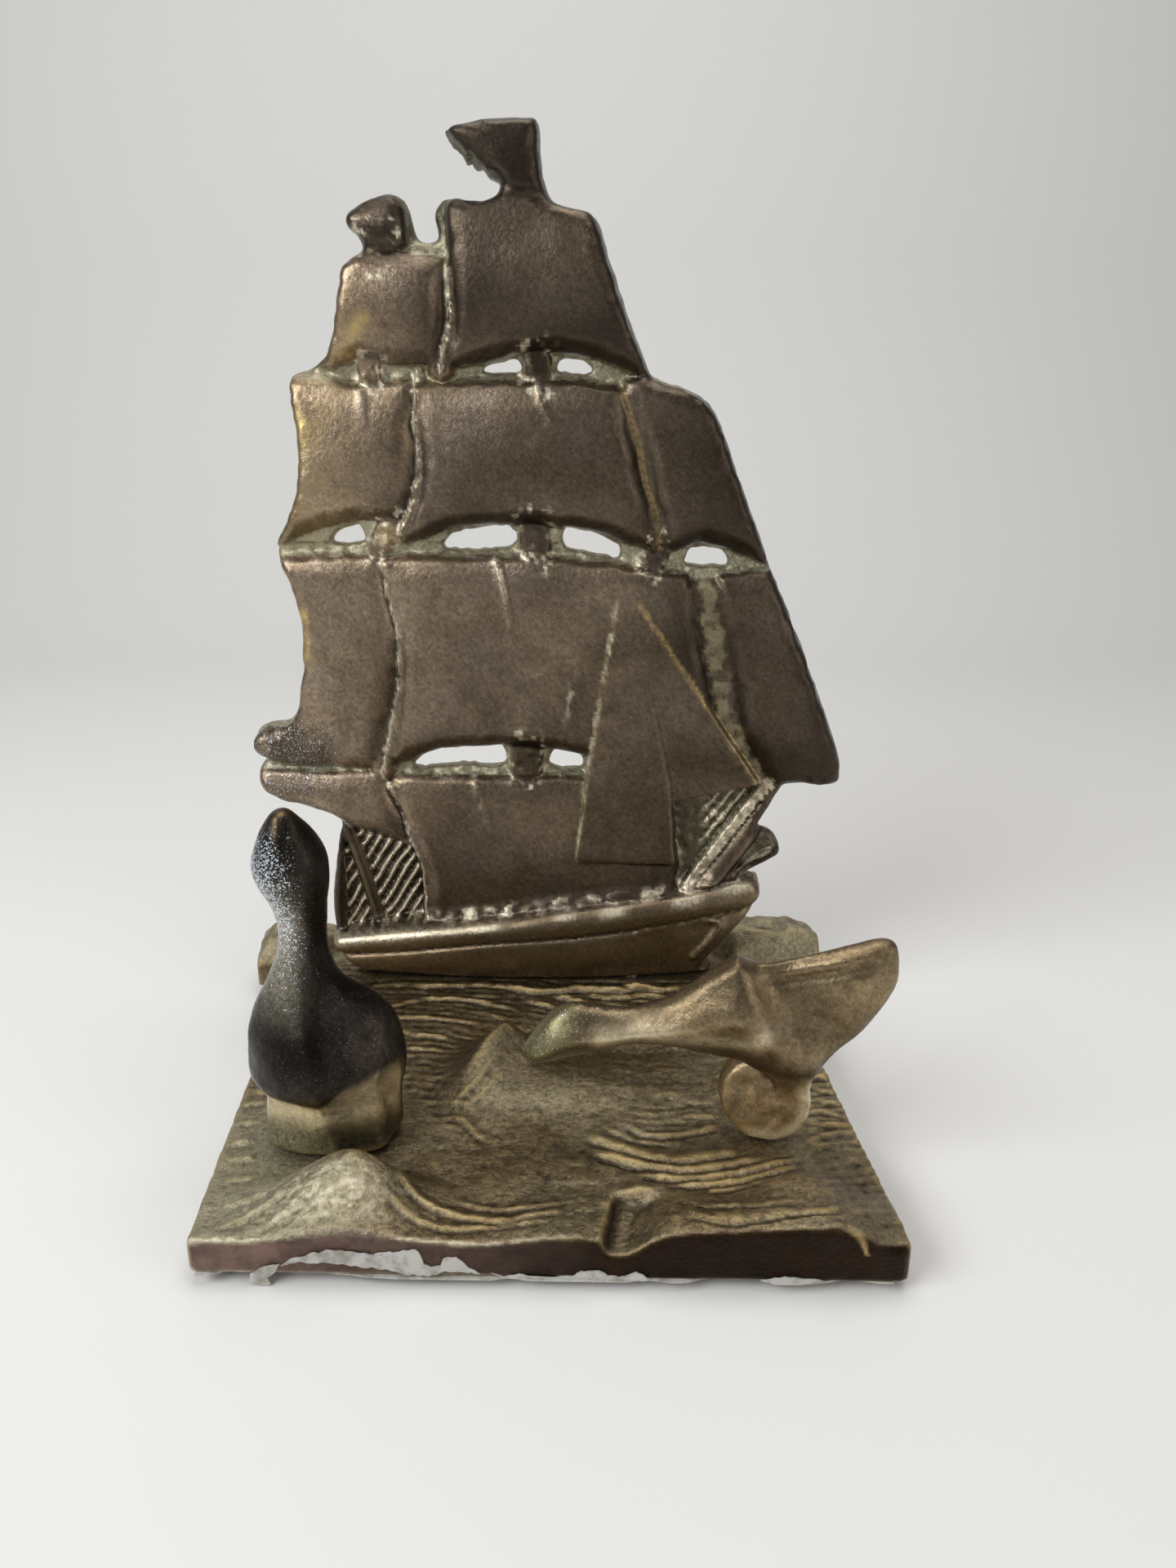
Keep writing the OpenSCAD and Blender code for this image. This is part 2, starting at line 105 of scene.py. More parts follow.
def to_line(x, z, points):
    """Distance from each grid point to an open line."""
    p = np.array(points, float)
    best = np.full(np.broadcast(x, z).shape, FAR)
    for a, b in zip(p[:-1], p[1:]):
        d = b - a
        t = np.clip(((x - a[0]) * d[0] + (z - a[1]) * d[1]) / max(d @ d, TINY), 0, 1)
        best = np.minimum(best, np.hypot(x - a[0] - t * d[0], z - a[1] - t * d[1]))
    return best


def to_curve(x, z, points):
    """Distance from each grid point to the smooth curve through the points."""
    return to_line(x, z, along(points))


def to_outline(x, z, points):
    """Signed distance from each grid point to a closed outline, negative inside."""
    p = np.vstack([points, points[:1]]).astype(float)
    best = to_line(x, z, p)
    inside = np.zeros(best.shape, bool)
    for a, b in zip(p[:-1], p[1:]):
        crosses = (a[1] > z) != (b[1] > z)
        rise = b[1] - a[1]
        at = a[0] + (z - a[1]) * (b[0] - a[0]) / (rise if rise else TINY)
        inside ^= crosses & (x < at)
    return np.where(inside, -best, best)


def x_of(line, z):
    """Where a line that runs downwards lies at each height."""
    return np.interp(z, *np.array(line)[::-1, ::-1].T)


def smooth_max(a, b, k):
    h = np.clip(0.5 + 0.5 * (a - b) / k, 0, 1)
    return b + (a - b) * h + k * h * (1 - h)


def smooth_min(a, b, k):
    return -smooth_max(-a, -b, k)


def ramp(a, b, v):
    """Smooth step from 0 at a to 1 at b."""
    t = np.clip((v - a) / (b - a), 0, 1)
    return t * t * (3 - 2 * t)


def ridge(distance, width):
    return np.exp(-(distance / width) ** 2)


def quarter(depth, radius):
    """Rounded edge: 0 at the edge and 1 from the given distance inside."""
    t = np.clip(depth / radius, 0, 1)
    return np.sqrt(1 - (1 - t) ** 2)


def lift(layer, values):
    """Raises a layer to the values that are higher."""
    np.maximum(layer, values, out=layer)


def spot(x, y, at, spread):
    """Bump of height 1 with its own spread to the left, right, front and back."""
    dx, dy = x - at[0], y - at[1]
    sx = np.where(dx < 0, spread[0], spread[1])
    sy = np.where(dy < 0, spread[2], spread[3])
    return np.exp(-(dx / sx) ** 2 - (dy / sy) ** 2)


# Table of random values that noise looks up, and a prime for each axis to mix its cells
NOISE_TABLE = 4096
NOISE_PRIMES = (73856093, 19349663, 83492791)


def noise(seed, size, *axes):
    """Smooth noise between -1 and 1 with features of the given size."""
    table = np.random.RandomState(seed).uniform(-1, 1, NOISE_TABLE)
    cells = [np.floor(a / size).astype(np.int64) for a in axes]
    parts = [ramp(0, 1, a / size - c) for a, c in zip(axes, cells)]
    total = 0
    for corner in range(2 ** len(axes)):
        key, weight = 0, 1
        for k, (c, t) in enumerate(zip(cells, parts)):
            up = corner >> k & 1
            key = key ^ ((c + up) * NOISE_PRIMES[k])
            weight = weight * (t if up else 1 - t)
        total = total + table[key & NOISE_TABLE - 1] * weight
    return total


# Closed meshes from fields that are negative inside

CORNERS = [(i, j, k) for i in (0, 1) for j in (0, 1) for k in (0, 1)]
STEP = 0.42
GULL_STEP = 0.38
# A field's value where a cut doesn't reach
UNCUT = -9
# A point is fully worn when it stands this far out of the mesh that is relaxed this often
PROUD = 0.22
PROUD_TIMES = 12
# Lowest and highest shade; below 0 it brightens
SHADE_RANGE = (-0.8, 1.1)


def grid(low, high, step):
    return [np.arange(a, b + step, step) for a, b in zip(low, high)]


def cell_of(places, low, step, shape):
    """Grid cell of each place."""
    return tuple(np.clip(np.round((places - low) / step).astype(int), 0, np.array(shape) - 1).T)


def lean_of(height, step):
    """How much longer a height is than the distance to its surface, up to about 3."""
    return np.sqrt(1 + np.minimum(sum(g ** 2 for g in np.gradient(height, step)), 9))


def skin_of(field, low, step):
    """Points and quads on the zero surface of a field that is sampled on a regular grid."""
    inside = field < 0
    n = np.array(field.shape) - 1
    count = np.zeros(n, np.int8)
    for i, j, k in CORNERS:
        count += inside[i:n[0] + i, j:n[1] + j, k:n[2] + k]
    cells = np.argwhere((count > 0) & (count < len(CORNERS)))
    values = np.stack([field[tuple((cells + c).T)] for c in CORNERS], 1)
    total = np.zeros((len(cells), 3))
    hits = np.zeros((len(cells), 1))
    for a, corner in enumerate(CORNERS):
        for axis in range(3):
            if corner[axis]:
                continue
            va, vb = values[:, a], values[:, a + (4, 2, 1)[axis]]
            cut = (va < 0) != (vb < 0)
            place = np.tile(np.array(corner, float), (len(cells), 1))
            place[:, axis] += np.where(cut, va / np.where(cut, va - vb, 1), 0)
            total += place * cut[:, None]
            hits += cut[:, None]
    points = low + step * (cells + total / hits)
    number = np.full(n, -1, np.int64)
    number[tuple(cells.T)] = np.arange(len(cells))
    quads = []
    for axis in range(3):
        first = [slice(0, n[i]) if i == axis else slice(1, n[i]) for i in range(3)]
        second = [slice(1, n[i] + 1) if i == axis else slice(1, n[i]) for i in range(3)]
        a, b = inside[tuple(first)], inside[tuple(second)]
        at = np.argwhere(a != b)
        outward = a[tuple(at.T)]
        at = at + [int(i != axis) for i in range(3)]
        u, v = np.eye(3, dtype=int)[[(axis + 1) % 3, (axis + 2) % 3]]
        ring = [number[tuple(r.T)] for r in (at - u - v, at - v, at, at - u)]
        quad = np.stack(ring, 1)
        quad[~outward] = quad[~outward][:, ::-1]
        quads.append(quad)
    return points, np.vstack(quads)


def relaxed(points, quads, times):
    """Points moved half way to the mean of their neighbours, a number of times."""
    ends = np.vstack([quads[:, [i, (i + 1) % 4]] for i in range(4)])
    ends = np.vstack([ends, ends[:, ::-1]])
    number = np.bincount(ends[:, 0], minlength=len(points))[:, None]
    p = points.copy()
    for _ in range(times):
        total = [np.bincount(ends[:, 0], p[ends[:, 1], k], len(p)) for k in range(3)]
        p += 0.5 * (np.stack(total, 1) / number - p)
    return p


def put(name, data):
    """New object in the scene."""
    made = bpy.data.objects.new(name, data)
    bpy.context.scene.collection.objects.link(made)
    return made


def make_mesh(name, points, faces, smooth=True):
    mesh = bpy.data.meshes.new(name)
    mesh.from_pydata((np.array(points) * MM).tolist(), [], faces)
    mesh.polygons.foreach_set("use_smooth", [smooth] * len(mesh.polygons))
    mesh.update()
    return put(name, mesh)


def cast(name, field, low, step):
    """Piece on the zero surface of a field, with its points, normals and how proud each point stands."""
    points, quads = skin_of(field.astype(np.float32), low, step)
    points = relaxed(points, quads, 1)
    piece = make_mesh(name, points, quads.tolist())
    normals = np.zeros(len(points) * 3, np.float32)
    piece.data.vertex_normals.foreach_get("vector", normals)
    normals = normals.reshape(-1, 3)
    proud = ((points - relaxed(points, quads, PROUD_TIMES)) * normals).sum(1) / PROUD
    return piece, points, normals, proud


def paint(piece, **layers):
    """Stores one number per point and layer for the material to read."""
    for name, values in layers.items():
        low, high = SHADE_RANGE if name == "shade" else (0, 1)
        layer = piece.data.attributes.new(name, "FLOAT", "POINT")
        layer.data.foreach_set("value", np.clip(values, low, high).astype(np.float32))


def paint_edges(piece, proud, wear=1.0, hollow=1.0):
    """Wear where the surface stands proud, dirt where it is hollow."""
    paint(piece, wear=wear * proud, hollow=-hollow * proud)


# Ship: outlines in x and height above the table, in the plane of the sails' front

SHIP_EDGE = [
    (-19, 165.2), (-13.5, 166.5), (-8, 166.9), (-4, 166.8), (-3.1, 165.6), (-2.8, 162), (-2.2, 157.5),
    (-1.2, 154.7), (1.1, 153.7), (5.2, 152.7), (7.2, 150), (9.5, 143.4), (12.8, 135), (16, 126.8),
    (17.2, 125.8), (19.4, 125.1), (22.9, 124), (26.9, 121.3), (29.7, 116.2), (32.9, 108.5), (37, 98.4),
    (39.6, 91.7), (45.7, 78), (50.2, 67.3), (53.7, 57.9), (54.8, 53.5), (54.2, 50.8), (51.5, 50),
    (44.7, 50.1), (42.1, 46.8), (39.3, 41.2), (41.6, 39.8), (43.3, 38.1), (43.9, 36.3), (43.6, 34.4),
    (39.6, 31.8), (36.9, 30.6), (39, 29.9), (40.1, 27.9), (40, 25.6), (37.6, 21.3), (32.9, 15.2),
    (28.6, 9.5), (26.6, 7.6), (-38, 7.6), (-42.6, 9), (-45.6, 11.4), (-47.6, 15), (-47.8, 18.3),
    (-47.9, 25.6), (-45.8, 36.5), (-45.1, 41.6), (-50.9, 44.3), (-56, 46), (-59.6, 48.2), (-60.6, 50.4),
    (-60.2, 53), (-59.3, 54.4), (-60.6, 55.6), (-60.9, 57.8), (-60.2, 60.2), (-58, 61.7), (-54.2, 62.2),
    (-51.9, 64.6), (-50.8, 68.5), (-49.4, 77), (-49.5, 83), (-51, 89.4), (-53.3, 95.4), (-51.1, 100.4),
    (-48.7, 105.2), (-47.4, 111.9), (-47.7, 118.2), (-48.4, 124), (-47.6, 126.4), (-44.8, 127.6),
    (-42.4, 128.9), (-40.4, 131.8), (-38.5, 139), (-37.6, 143.6), (-36, 145.3), (-34, 146.9),
    (-34.4, 148.5), (-36, 150), (-36.3, 151.6), (-35.4, 153), (-31.6, 154.9), (-28.6, 155.5),
    (-26.4, 154.6), (-24.9, 151.6), (-24.1, 148.4), (-22.6, 148.1), (-20.9, 148.5), (-20.7, 150.3),
    (-21.2, 152.4), (-20.2, 154.1), (-18.6, 154.8), (-13.9, 154.6), (-11, 155), (-10.1, 156.4),
    (-11.1, 157.4), (-13.1, 158.8), (-14.4, 159.5), (-16.6, 161.3), (-18.3, 163.2)]

# Seams where one sail laps over the next
SEAM_ROYAL = [(-19.1, 146), (-19, 138.3), (-19.3, 134.4), (-20.2, 131.1), (-20.9, 127.6)]
SEAM_GALLANT = [
    (-25.7, 126.2), (-25.4, 121), (-26, 118.2), (-25.4, 114), (-25.6, 109.8), (-26.4, 106.9),
    (-27.4, 104.1), (-29.3, 100.2)]
SEAM_TOP = [
    (-33.1, 95.8), (-32.7, 90.7), (-31.5, 84.6), (-30.9, 80.7), (-31, 73.6), (-31.6, 68.8), (-33.1, 62.3),
    (-34.7, 55.6), (-35.5, 52.8)]
SEAM_COURSE = [(-35.2, 51.8), (-33.6, 47.9), (-31.9, 43.6), (-30.1, 36.6), (-28.4, 31.2), (-28.3, 18)]
# Each of these with the height of the sail's edge to its left and to its right
SEAMS = [(SEAM_ROYAL, 4.8, 5.6), (SEAM_GALLANT, 4.7, 5.7), (SEAM_TOP, 4.8, 5.6), (SEAM_COURSE, 4.6, 5.4)]
# Filled seam with a faint line
SEAM_RIGHT = [(10.7, 125.2), (13, 118.3), (14.2, 114.8), (15.4, 108.5), (17.4, 102.7), (18.3, 96.4)]

# Edges of the jibs and the fold between them
JIB_LEFT = [(10.6, 87), (7.5, 69), (5.1, 54.2), (2.7, 34.6)]
JIB_MIDDLE = [(16.6, 71.5), (17.9, 66.5), (21.1, 50.9), (22.6, 38)]
JIB_RIGHT = [(14.5, 86.6), (25.3, 70.7), (38.6, 51.2)]
JIB_PLATE = JIB_LEFT + [(22.6, 33.8), (22, 47.2), (29.2, 48.8)] + JIB_RIGHT[::-1]
# Left edge of the outermost sail, and the crusted strip beside it
CHANNEL_RIGHT = [(28.3, 91), (31.2, 77.1), (34.2, 61), (40.3, 50)]
STRIP = [(26.6, 91.6), (29, 78), (31.2, 67), (34.6, 58.6), (39.6, 50.4)]

# Feet of the upper sails, over the openings
ROYAL_FOOT = [
    (15.4, 125.1), (10.8, 127.2), (6.5, 128.9), (2.3, 129.8), (-4.8, 129.9), (-9, 129.5), (-13.3, 128.3),
    (-20.9, 126.9)]
GALLANT_FOOT = [(17.6, 95.2), (8.1, 99), (-5.3, 100.6), (-18.7, 99.8), (-29.6, 96.9)]
TOPSAIL_FOOT = [(4.6, 55.8), (-7.6, 57.9), (-23.5, 57.1), (-34.6, 53.2)]

# Each sail: outline, height of its surface above the flat back, fullness of its belly
SAILS = [
    ([(-44, 150), (-28, 146.8), (-18.6, 145.4)] + SEAM_ROYAL + [(-29, 127.9), (-33.9, 129.2),
     (-39.8, 127.4), (-47, 127.4), (-44, 138)], 5, 1.5),
    ([(-19, 158), (10, 158), (12, 146), (20, 124)] + ROYAL_FOOT + SEAM_ROYAL[::-1], 5.7, 1.4),
    ([(-54, 126.6), (-40, 126.4), (-35.5, 125.6)] + SEAM_GALLANT + [(-36.5, 101.1), (-44.9, 99.6),
     (-52.7, 95.9), (-60, 94), (-56, 112)], 5, 1.5),
    ([(-25.7, 126.2), (-13, 126.2), (-4, 126.5), (5.3, 125.9)] + SEAM_RIGHT + GALLANT_FOOT +
     SEAM_GALLANT[::-1], 5.9, 1.3),
    ([(10.7, 125.6), (16.8, 129), (34, 127), (36, 116), (48, 90), (38, 93.1), (30.5, 96.2), (26, 97.3),
     (18.6, 94.9)] + SEAM_RIGHT[::-1], 5.3, 1.3),
    ([(-60, 97), (-53.2, 95.2), (-41.6, 95.6)] + SEAM_TOP + [(-56, 53.4), (-60, 70)], 5, 1.4),
    ([(-33.1, 95.4), (-20, 95.5), (-9, 95.3), (0, 95), (11.1, 93.9), (24.3, 91.8), (27.2, 77.5), (31, 62),
     (38.4, 51), (29.2, 48.8), (22, 47.2), (4.8, 46)] + TOPSAIL_FOOT + SEAM_TOP[::-1], 5.6, 1.2),
    ([(25.2, 91.2), (31, 92.5), (37.5, 93), (50, 92), (62, 52), (58, 46), (44, 49.2)] + CHANNEL_RIGHT[::-1],
     5.5, 1.3),
    ([(-35.2, 52.3), (-17, 52.3), (4.2, 52.5), (22, 47.3), (23.4, 33.8), (22.4, 22), (1.8, 21),
     (-14.9, 19.4)] + SEAM_COURSE[::-1], 5.5, 1),
    ([(-66, 53.8), (-55, 53.3), (-35.8, 52.9)] + SEAM_COURSE[:4] + [(-45.1, 41.6), (-51, 44.2), (-66, 44)],
     5.2, 0.6),
    ([(-21, 168), (0, 170), (0, 153.4), (-10.6, 154.2), (-10.6, 156.5), (-13.4, 159.6), (-17.5, 163)], 5.2,
     0.5),
    ([(-38, 153), (-28, 157), (-25.2, 153.6), (-25.3, 147), (-29, 145.5), (-33.8, 146.4), (-38, 150)], 5.2,
     0.5)]

# Openings between the sails: flat floor, arched top under the sail's foot
OPENINGS = [
    [(-13.6, 126.7), (-12.8, 128.2), (-9, 129.3), (-7, 129.3), (-6.7, 126.8)],
    [(-0.3, 126.8), (0.2, 129.3), (3, 129.3), (5.5, 128.4), (5.6, 126.5)],
    [(-42.8, 96.7), (-41.4, 99.4), (-37.6, 100.5), (-36.2, 99.2), (-36.4, 96.9)],
    [(-21.6, 95.7), (-20.8, 98.6), (-18, 99.6), (-9.2, 100.4), (-8.8, 96.1)],
    [(0.6, 96), (0.8, 99.9), (5, 99.5), (9, 98.1), (11.4, 96.4), (10.8, 93.9), (6, 94.9)],
    [(23.2, 93.1), (23.6, 95.8), (26, 96.8), (29.5, 96.2), (31, 94.5), (30.6, 92.7)],
    [(-29.4, 52.4), (-28.4, 54.9), (-23.5, 57), (-14, 57.8), (-11.3, 57.2), (-11.5, 53), (-20, 53.3)],
    [(-2.5, 53), (-2.2, 56.6), (1, 56.6), (4, 55.8), (3.9, 52.7)]]

# Mast pieces between the openings: foot, top, half width, height above the flat back
MASTS = [
    ((-3.4, 125.4), (-3.8, 130), 2.6, 4.6), ((-4.3, 95.4), (-4.8, 101), 3, 4.7),
    ((16.8, 93), (18.2, 97), 2.6, 4.5), ((-6.9, 52.4), (-6.9, 58.2), 3.1, 4.6),
    ((-31, 145.5), (-30.6, 149), 3, 5.1), ((-33.6, 95.8), (-31.2, 101.5), 2.2, 4.6),
    ((-33.4, 126), (-33.6, 128.6), 2.2, 4.4)]

RAIL_TOP = [
    (-50, 16.9), (-41.1, 18.4), (-31.1, 20.1), (-14.5, 22.3), (1.9, 24.7), (15, 26.3), (28, 27.9),
    (35.2, 29.6), (41, 30.2)]
RAIL_FOOT = [
    (-50, 12.7), (-43.2, 13.6), (-31.4, 15.2), (-14.7, 17.6), (1.9, 18.9), (18.4, 20.9), (26.5, 22),
    (41, 24.5)]
BOW_SCROLL = [(16, 20.6), (26, 22.2), (30.4, 22), (31.8, 20.6), (30, 17.2), (26.8, 13.2)]
# Creases in the sails: line, height, width
CREASES = [
    ([(-12.1, 94.6), (-10.4, 88), (-8.9, 78.5)], 0.6, 0.42), ([(2.2, 71), (0.2, 59.6)], 0.35, 0.45),
    ([(-4.3, 125.6), (-3.2, 122.4), (-1.2, 118.4)], 0.5, 0.5), ([(-35.2, 125.4), (-34.8, 118)], 0.3, 0.8),
    ([(-17.5, 51.6), (-16.4, 46.5), (-14.6, 40.6)], 0.35, 0.5)]
# Gold streaks near the left edges of the left sails: line, width
GOLD_STREAKS = [
    ([(-37.6, 130.2), (-36, 133), (-33.6, 135.8)], 1.3), ([(-46.4, 119), (-46.2, 112)], 1.6),
    ([(-48.4, 84), (-48.2, 76)], 1.4)]
# Ratlines to the left of the course sail and under the jibs
HATCH_LEFT = [(-45.4, 41.4), (-30.2, 36.4), (-28.6, 31), (-28.6, 20), (-49, 17)]
HATCH_RIGHT = [(21.6, 47), (39, 50.2), (25, 29)]
# Post, brace, bowsprit, boom and stub: line, radius, height of the axis above the flat back
BARS = [
    ([(-46, 40.5), (-46.8, 17.5)], 1.9, 2.6), ([(-43.4, 40), (-40.6, 30), (-37.6, 17.5)], 1.4, 2.6),
    ([(27.6, 26), (43.2, 48.6)], 2.4, 3), ([(29, 26.8), (43.6, 35.9)], 1.6, 2.6),
    ([(-60.9, 58.2), (-48, 58.2)], 3.9, 2.2)]
SPRIT_ROPE = [(24.6, 27.4), (40.6, 51)]
ROPE_R = 1.2
BURST = (-4.3, 97.5)
BURST_RAYS = 17
NUGGET = (-31.6, 98.6)
# Height of the rough ground between the sails above the flat back
GROUND = 3.0
RAIL_UP = 0.2
HOLE_IN = 0.5
# Depth over which the walls and openings taper towards the front
DRAFT_DEEP = 7


def sail_heights(x, z):
    """Height of the rig's front above its flat back, and how much painted shade each point gets."""
    height = np.full(np.broadcast(x, z).shape, GROUND)
    down = np.zeros(height.shape)
    wobble = 0.3 * noise(18, 2.5, x, z)
    for corners, level, belly in SAILS:
        p = np.array(corners, float)
        depth = wobble - to_outline(x, z, p)
        top, foot = p[:, 1].max(), p[:, 1].min()
        v = np.clip((top - z) / (top - foot), 0, 1)
        middle, half = (p[:, 0].max() + p[:, 0].min()) / 2, np.ptp(p[:, 0]) / 2
        full = np.sin(np.pi * v ** 1.2) * (1 - 0.5 * np.clip((x - middle) / half, -1, 1) ** 2)
        edge = quarter(depth, 1.4 + 1.7 * v)
        edge += ramp(0.16, 0.06, v) * (ramp(-0.4, 1.9, depth) - edge)
        rise = (level - GROUND) * edge * (0.72 + 0.28 * ramp(0, 6, top - z))
        own = GROUND + rise + 1.4 * belly * full * ramp(0, 3.5, depth)
        height = np.where(depth > 0, smooth_max(height, own, 0.3), height)
        # Painted shade: darker towards the sail's foot, near its edges and away from a lit spot left of its
        # middle
        lee = np.clip(np.abs(x - middle + 0.3 * half) / half - 0.3, 0, 1)
        down = np.where(depth > 0, v + 0.25 * ramp(6, 0, depth) + 0.3 * lee, down)
    depth = -to_outline(x, z, np.array(JIB_PLATE))
    plate = 6.1 + 0.5 * ramp(90, 60, z) + 0.75 * ramp(89, 78, z) * quarter(depth, 0.7)
    height = np.where(depth > 0, np.maximum(plate, height * ramp(76, 84, z)), height)
    past_fold = ramp(-0.3, 0.3, x - x_of(JIB_MIDDLE, z))
    height -= 0.3 * ramp(0, 1.2, depth) * past_fold * ramp(72, 64, z)
    # Painted shade on the jibs, darker towards their foot
    down = np.where(depth > 0, 0.25 + 0.45 * ramp(60, 34, z), down)
    return height, down


def hatching(x, z, outline, spacing, slope):
    """Slanting strokes inside an outline, and the depth inside it."""
    depth = -to_outline(x, z, np.array(outline, float))
    across = (x * slope - z) / math.hypot(slope, 1) + 0.35 * noise(5, 4.0, x, z)
    wave = np.abs((across / spacing) % 1 - 0.5) * spacing
    return ramp(0.2, 1.0, depth) * ridge(wave, 0.33 + 0.1 * noise(6, 1.5, x, z)), depth


def ship():
    low = np.array([-62.4, hull_front_y - 2.5, sea_z - 1])
    high = np.array([56.4, hull_back_y + 1, ship_high[2] + 1])
    xs, ys, zs = grid(low, high, STEP)
    x, z = np.meshgrid(xs, zs, indexing="ij")
    edge = to_outline(x, z, along(SHIP_EDGE, 3, closed=True)) + 0.16 * noise(1, 3.5, x, z)
    ragged = ramp(-9, -13, x) * ramp(155.5, 157, z) * ramp(164.5, 163, z)
    edge += 0.5 * ragged * noise(2, 0.9, x, z)
    height, down = sail_heights(x, z)
    rough = 0.22 * noise(3, 13.0, x, z) + 0.07 * noise(4, 3.6, x, z)
    grit = noise(8, 1.2, x, z)
    height += rough + np.where(height < 3.9, 0.3 * grit, 0)

    # Laps at the seams, creases and lines on the jibs
    cream = np.zeros(height.shape)
    gold = np.zeros(height.shape)
    for line, left, right in SEAMS:
        d = to_curve(x, z, line)
        aside = x - x_of(along(line), z) + 0.25 * noise(7, 1.6, x, z)
        lap = left + (right - left) * ramp(-0.45, 0.45, aside) + 0.25 * grit * ridge(aside, 0.6)
        lap -= 2.0 * ramp(line[0][1] - 2.5, line[0][1] - 0.5, z)
        lift(height, lap - 3.0 * ramp(1.2, 3.8, d))
        # Cream at each lap's step: crumbs and a painted highlight of the step lit from the left
        lift(cream, ridge(aside, 0.27) * ramp(1.2, 0.6, d) * ramp(-1.0, 0.1, grit))
    strip = to_curve(x, z, STRIP)
    lift(height, 5.3 + 0.15 * grit - 3.0 * ramp(2.9, 5.2, strip) - 2.0 * ramp(88, 92, z))
    olive = ramp(2.0, 0.8, strip + 0.9 * noise(21, 2.2, x, z)) * ramp(-1.0, 0.3, grit)
    faint = to_curve(x, z, SEAM_RIGHT)
    filled = 5.5 - 0.35 * ridge(faint, 0.6) - 2.0 * ramp(1.4, 3.6, faint)
    lift(height, filled - 3.0 * (ramp(97.5, 96.0, z) + ramp(123.5, 125.0, z)))
    lift(gold, 0.5 * ridge(faint, 0.45))
    for line, share in ((JIB_LEFT, 0.3), (JIB_RIGHT, 0.75)):
        r = ridge(to_curve(x, z, line), 0.4)
        height += 0.2 * r
        lift(gold, share * r)
    # Painted highlight: a cream line along the left edge of the jibs
    lift(cream, 0.6 * ridge(to_curve(x, z, JIB_LEFT), 0.3) * ramp(-0.7, 0.2, grit))
    height -= 0.25 * ridge(to_curve(x, z, JIB_MIDDLE), 0.5)
    for line, rise, width in CREASES:
        r = ridge(to_curve(x, z, line), width)
        fade = ramp(line[-1][1] - 0.5, line[0][1], z)
        height += rise * r * (0.35 + 0.65 * fade)
        lift(cream, 0.7 * r * fade * ramp(-0.6, 0.3, grit))
    for line, width in GOLD_STREAKS:
        lift(gold, ridge(to_curve(x, z, line), width))

    # Mast lumps with crumbs around them, and scratches that spread from one of them
    knots = noise(15, 1.5, x, z)
    crumbs = ramp(0.15, 0.55, noise(17, 0.9, x, z))
    mast = np.zeros(height.shape)
    for foot, top, half, level in MASTS:
        d = to_line(x, z, (foot, top)) + 0.5 * knots
        lump = GROUND + (level - GROUND) * quarter(half - d, 1.6) + 0.35 * knots
        height = np.where(d < half, smooth_max(height, lump, 0.4), height)
        lift(mast, ramp(0, 1.0, half - d))
        lift(cream, crumbs * ridge(d - half, 0.8))
    nugget = ridge(np.hypot(x - NUGGET[0], z - NUGGET[1]), 1.9)
    height += 0.8 * nugget
    lift(gold, nugget)
    lift(cream, 0.7 * nugget * ramp(-0.2, 0.4, grit))
    ray_x, ray_z = x - BURST[0], z - BURST[1]
    rays = ramp(0.3, 0.9, np.cos(BURST_RAYS * np.arctan2(ray_x, -ray_z) + 1.5 * grit))
    lift(cream, rays * ramp(4.8, 2.4, np.hypot(ray_x, ray_z)) * (ray_z < -1.8))

    # Ratlines, posts and spars
    left_strokes, left_depth = hatching(x, z, HATCH_LEFT, 1.95, 1.5)
    height = np.where(left_depth > 0, np.minimum(height, 2.2) + 1.1 * left_strokes, height)
    right_strokes, right_depth = hatching(x, z, HATCH_RIGHT, 1.9, 1.4)
    right_strokes *= ramp(26.5, 30.0, x)
    netted = np.minimum(height, 2.8) + 0.2 * grit + 0.8 * right_strokes
    height = np.where(right_depth > 0, netted, height)
    panel = (left_depth > 0) | (right_depth > 0)
    panel_shade = np.where(left_depth > 0, 1.2, 0.5)
    strokes = np.where(panel, np.maximum(left_strokes, right_strokes), 0)
    bars = np.zeros(panel.shape, bool)
    for line, radius, level in BARS:
        d = to_curve(x, z, line)
        bar = level + radius * np.sqrt(np.clip(1 - (d / radius) ** 2, 0, 1))
        height = np.where(d < radius, smooth_max(height, bar, 0.3), height)
        strokes = np.where(d < radius, 0, strokes)
        bars = bars | (d < radius) & (level < 2.8)
    lift(cream, strokes)
    rope = to_line(x, z, SPRIT_ROPE)
    twist = noise(9, 0.9, x, z)
    lay = 4.3 + 0.6 * quarter(ROPE_R - rope, 0.9) + 0.35 * twist
    height = np.where(rope < ROPE_R, np.maximum(height, lay), height)
    lift(cream, np.where(rope < ROPE_R - 0.1, 0.45 + 0.55 * ramp(-0.4, 0.3, twist), 0))

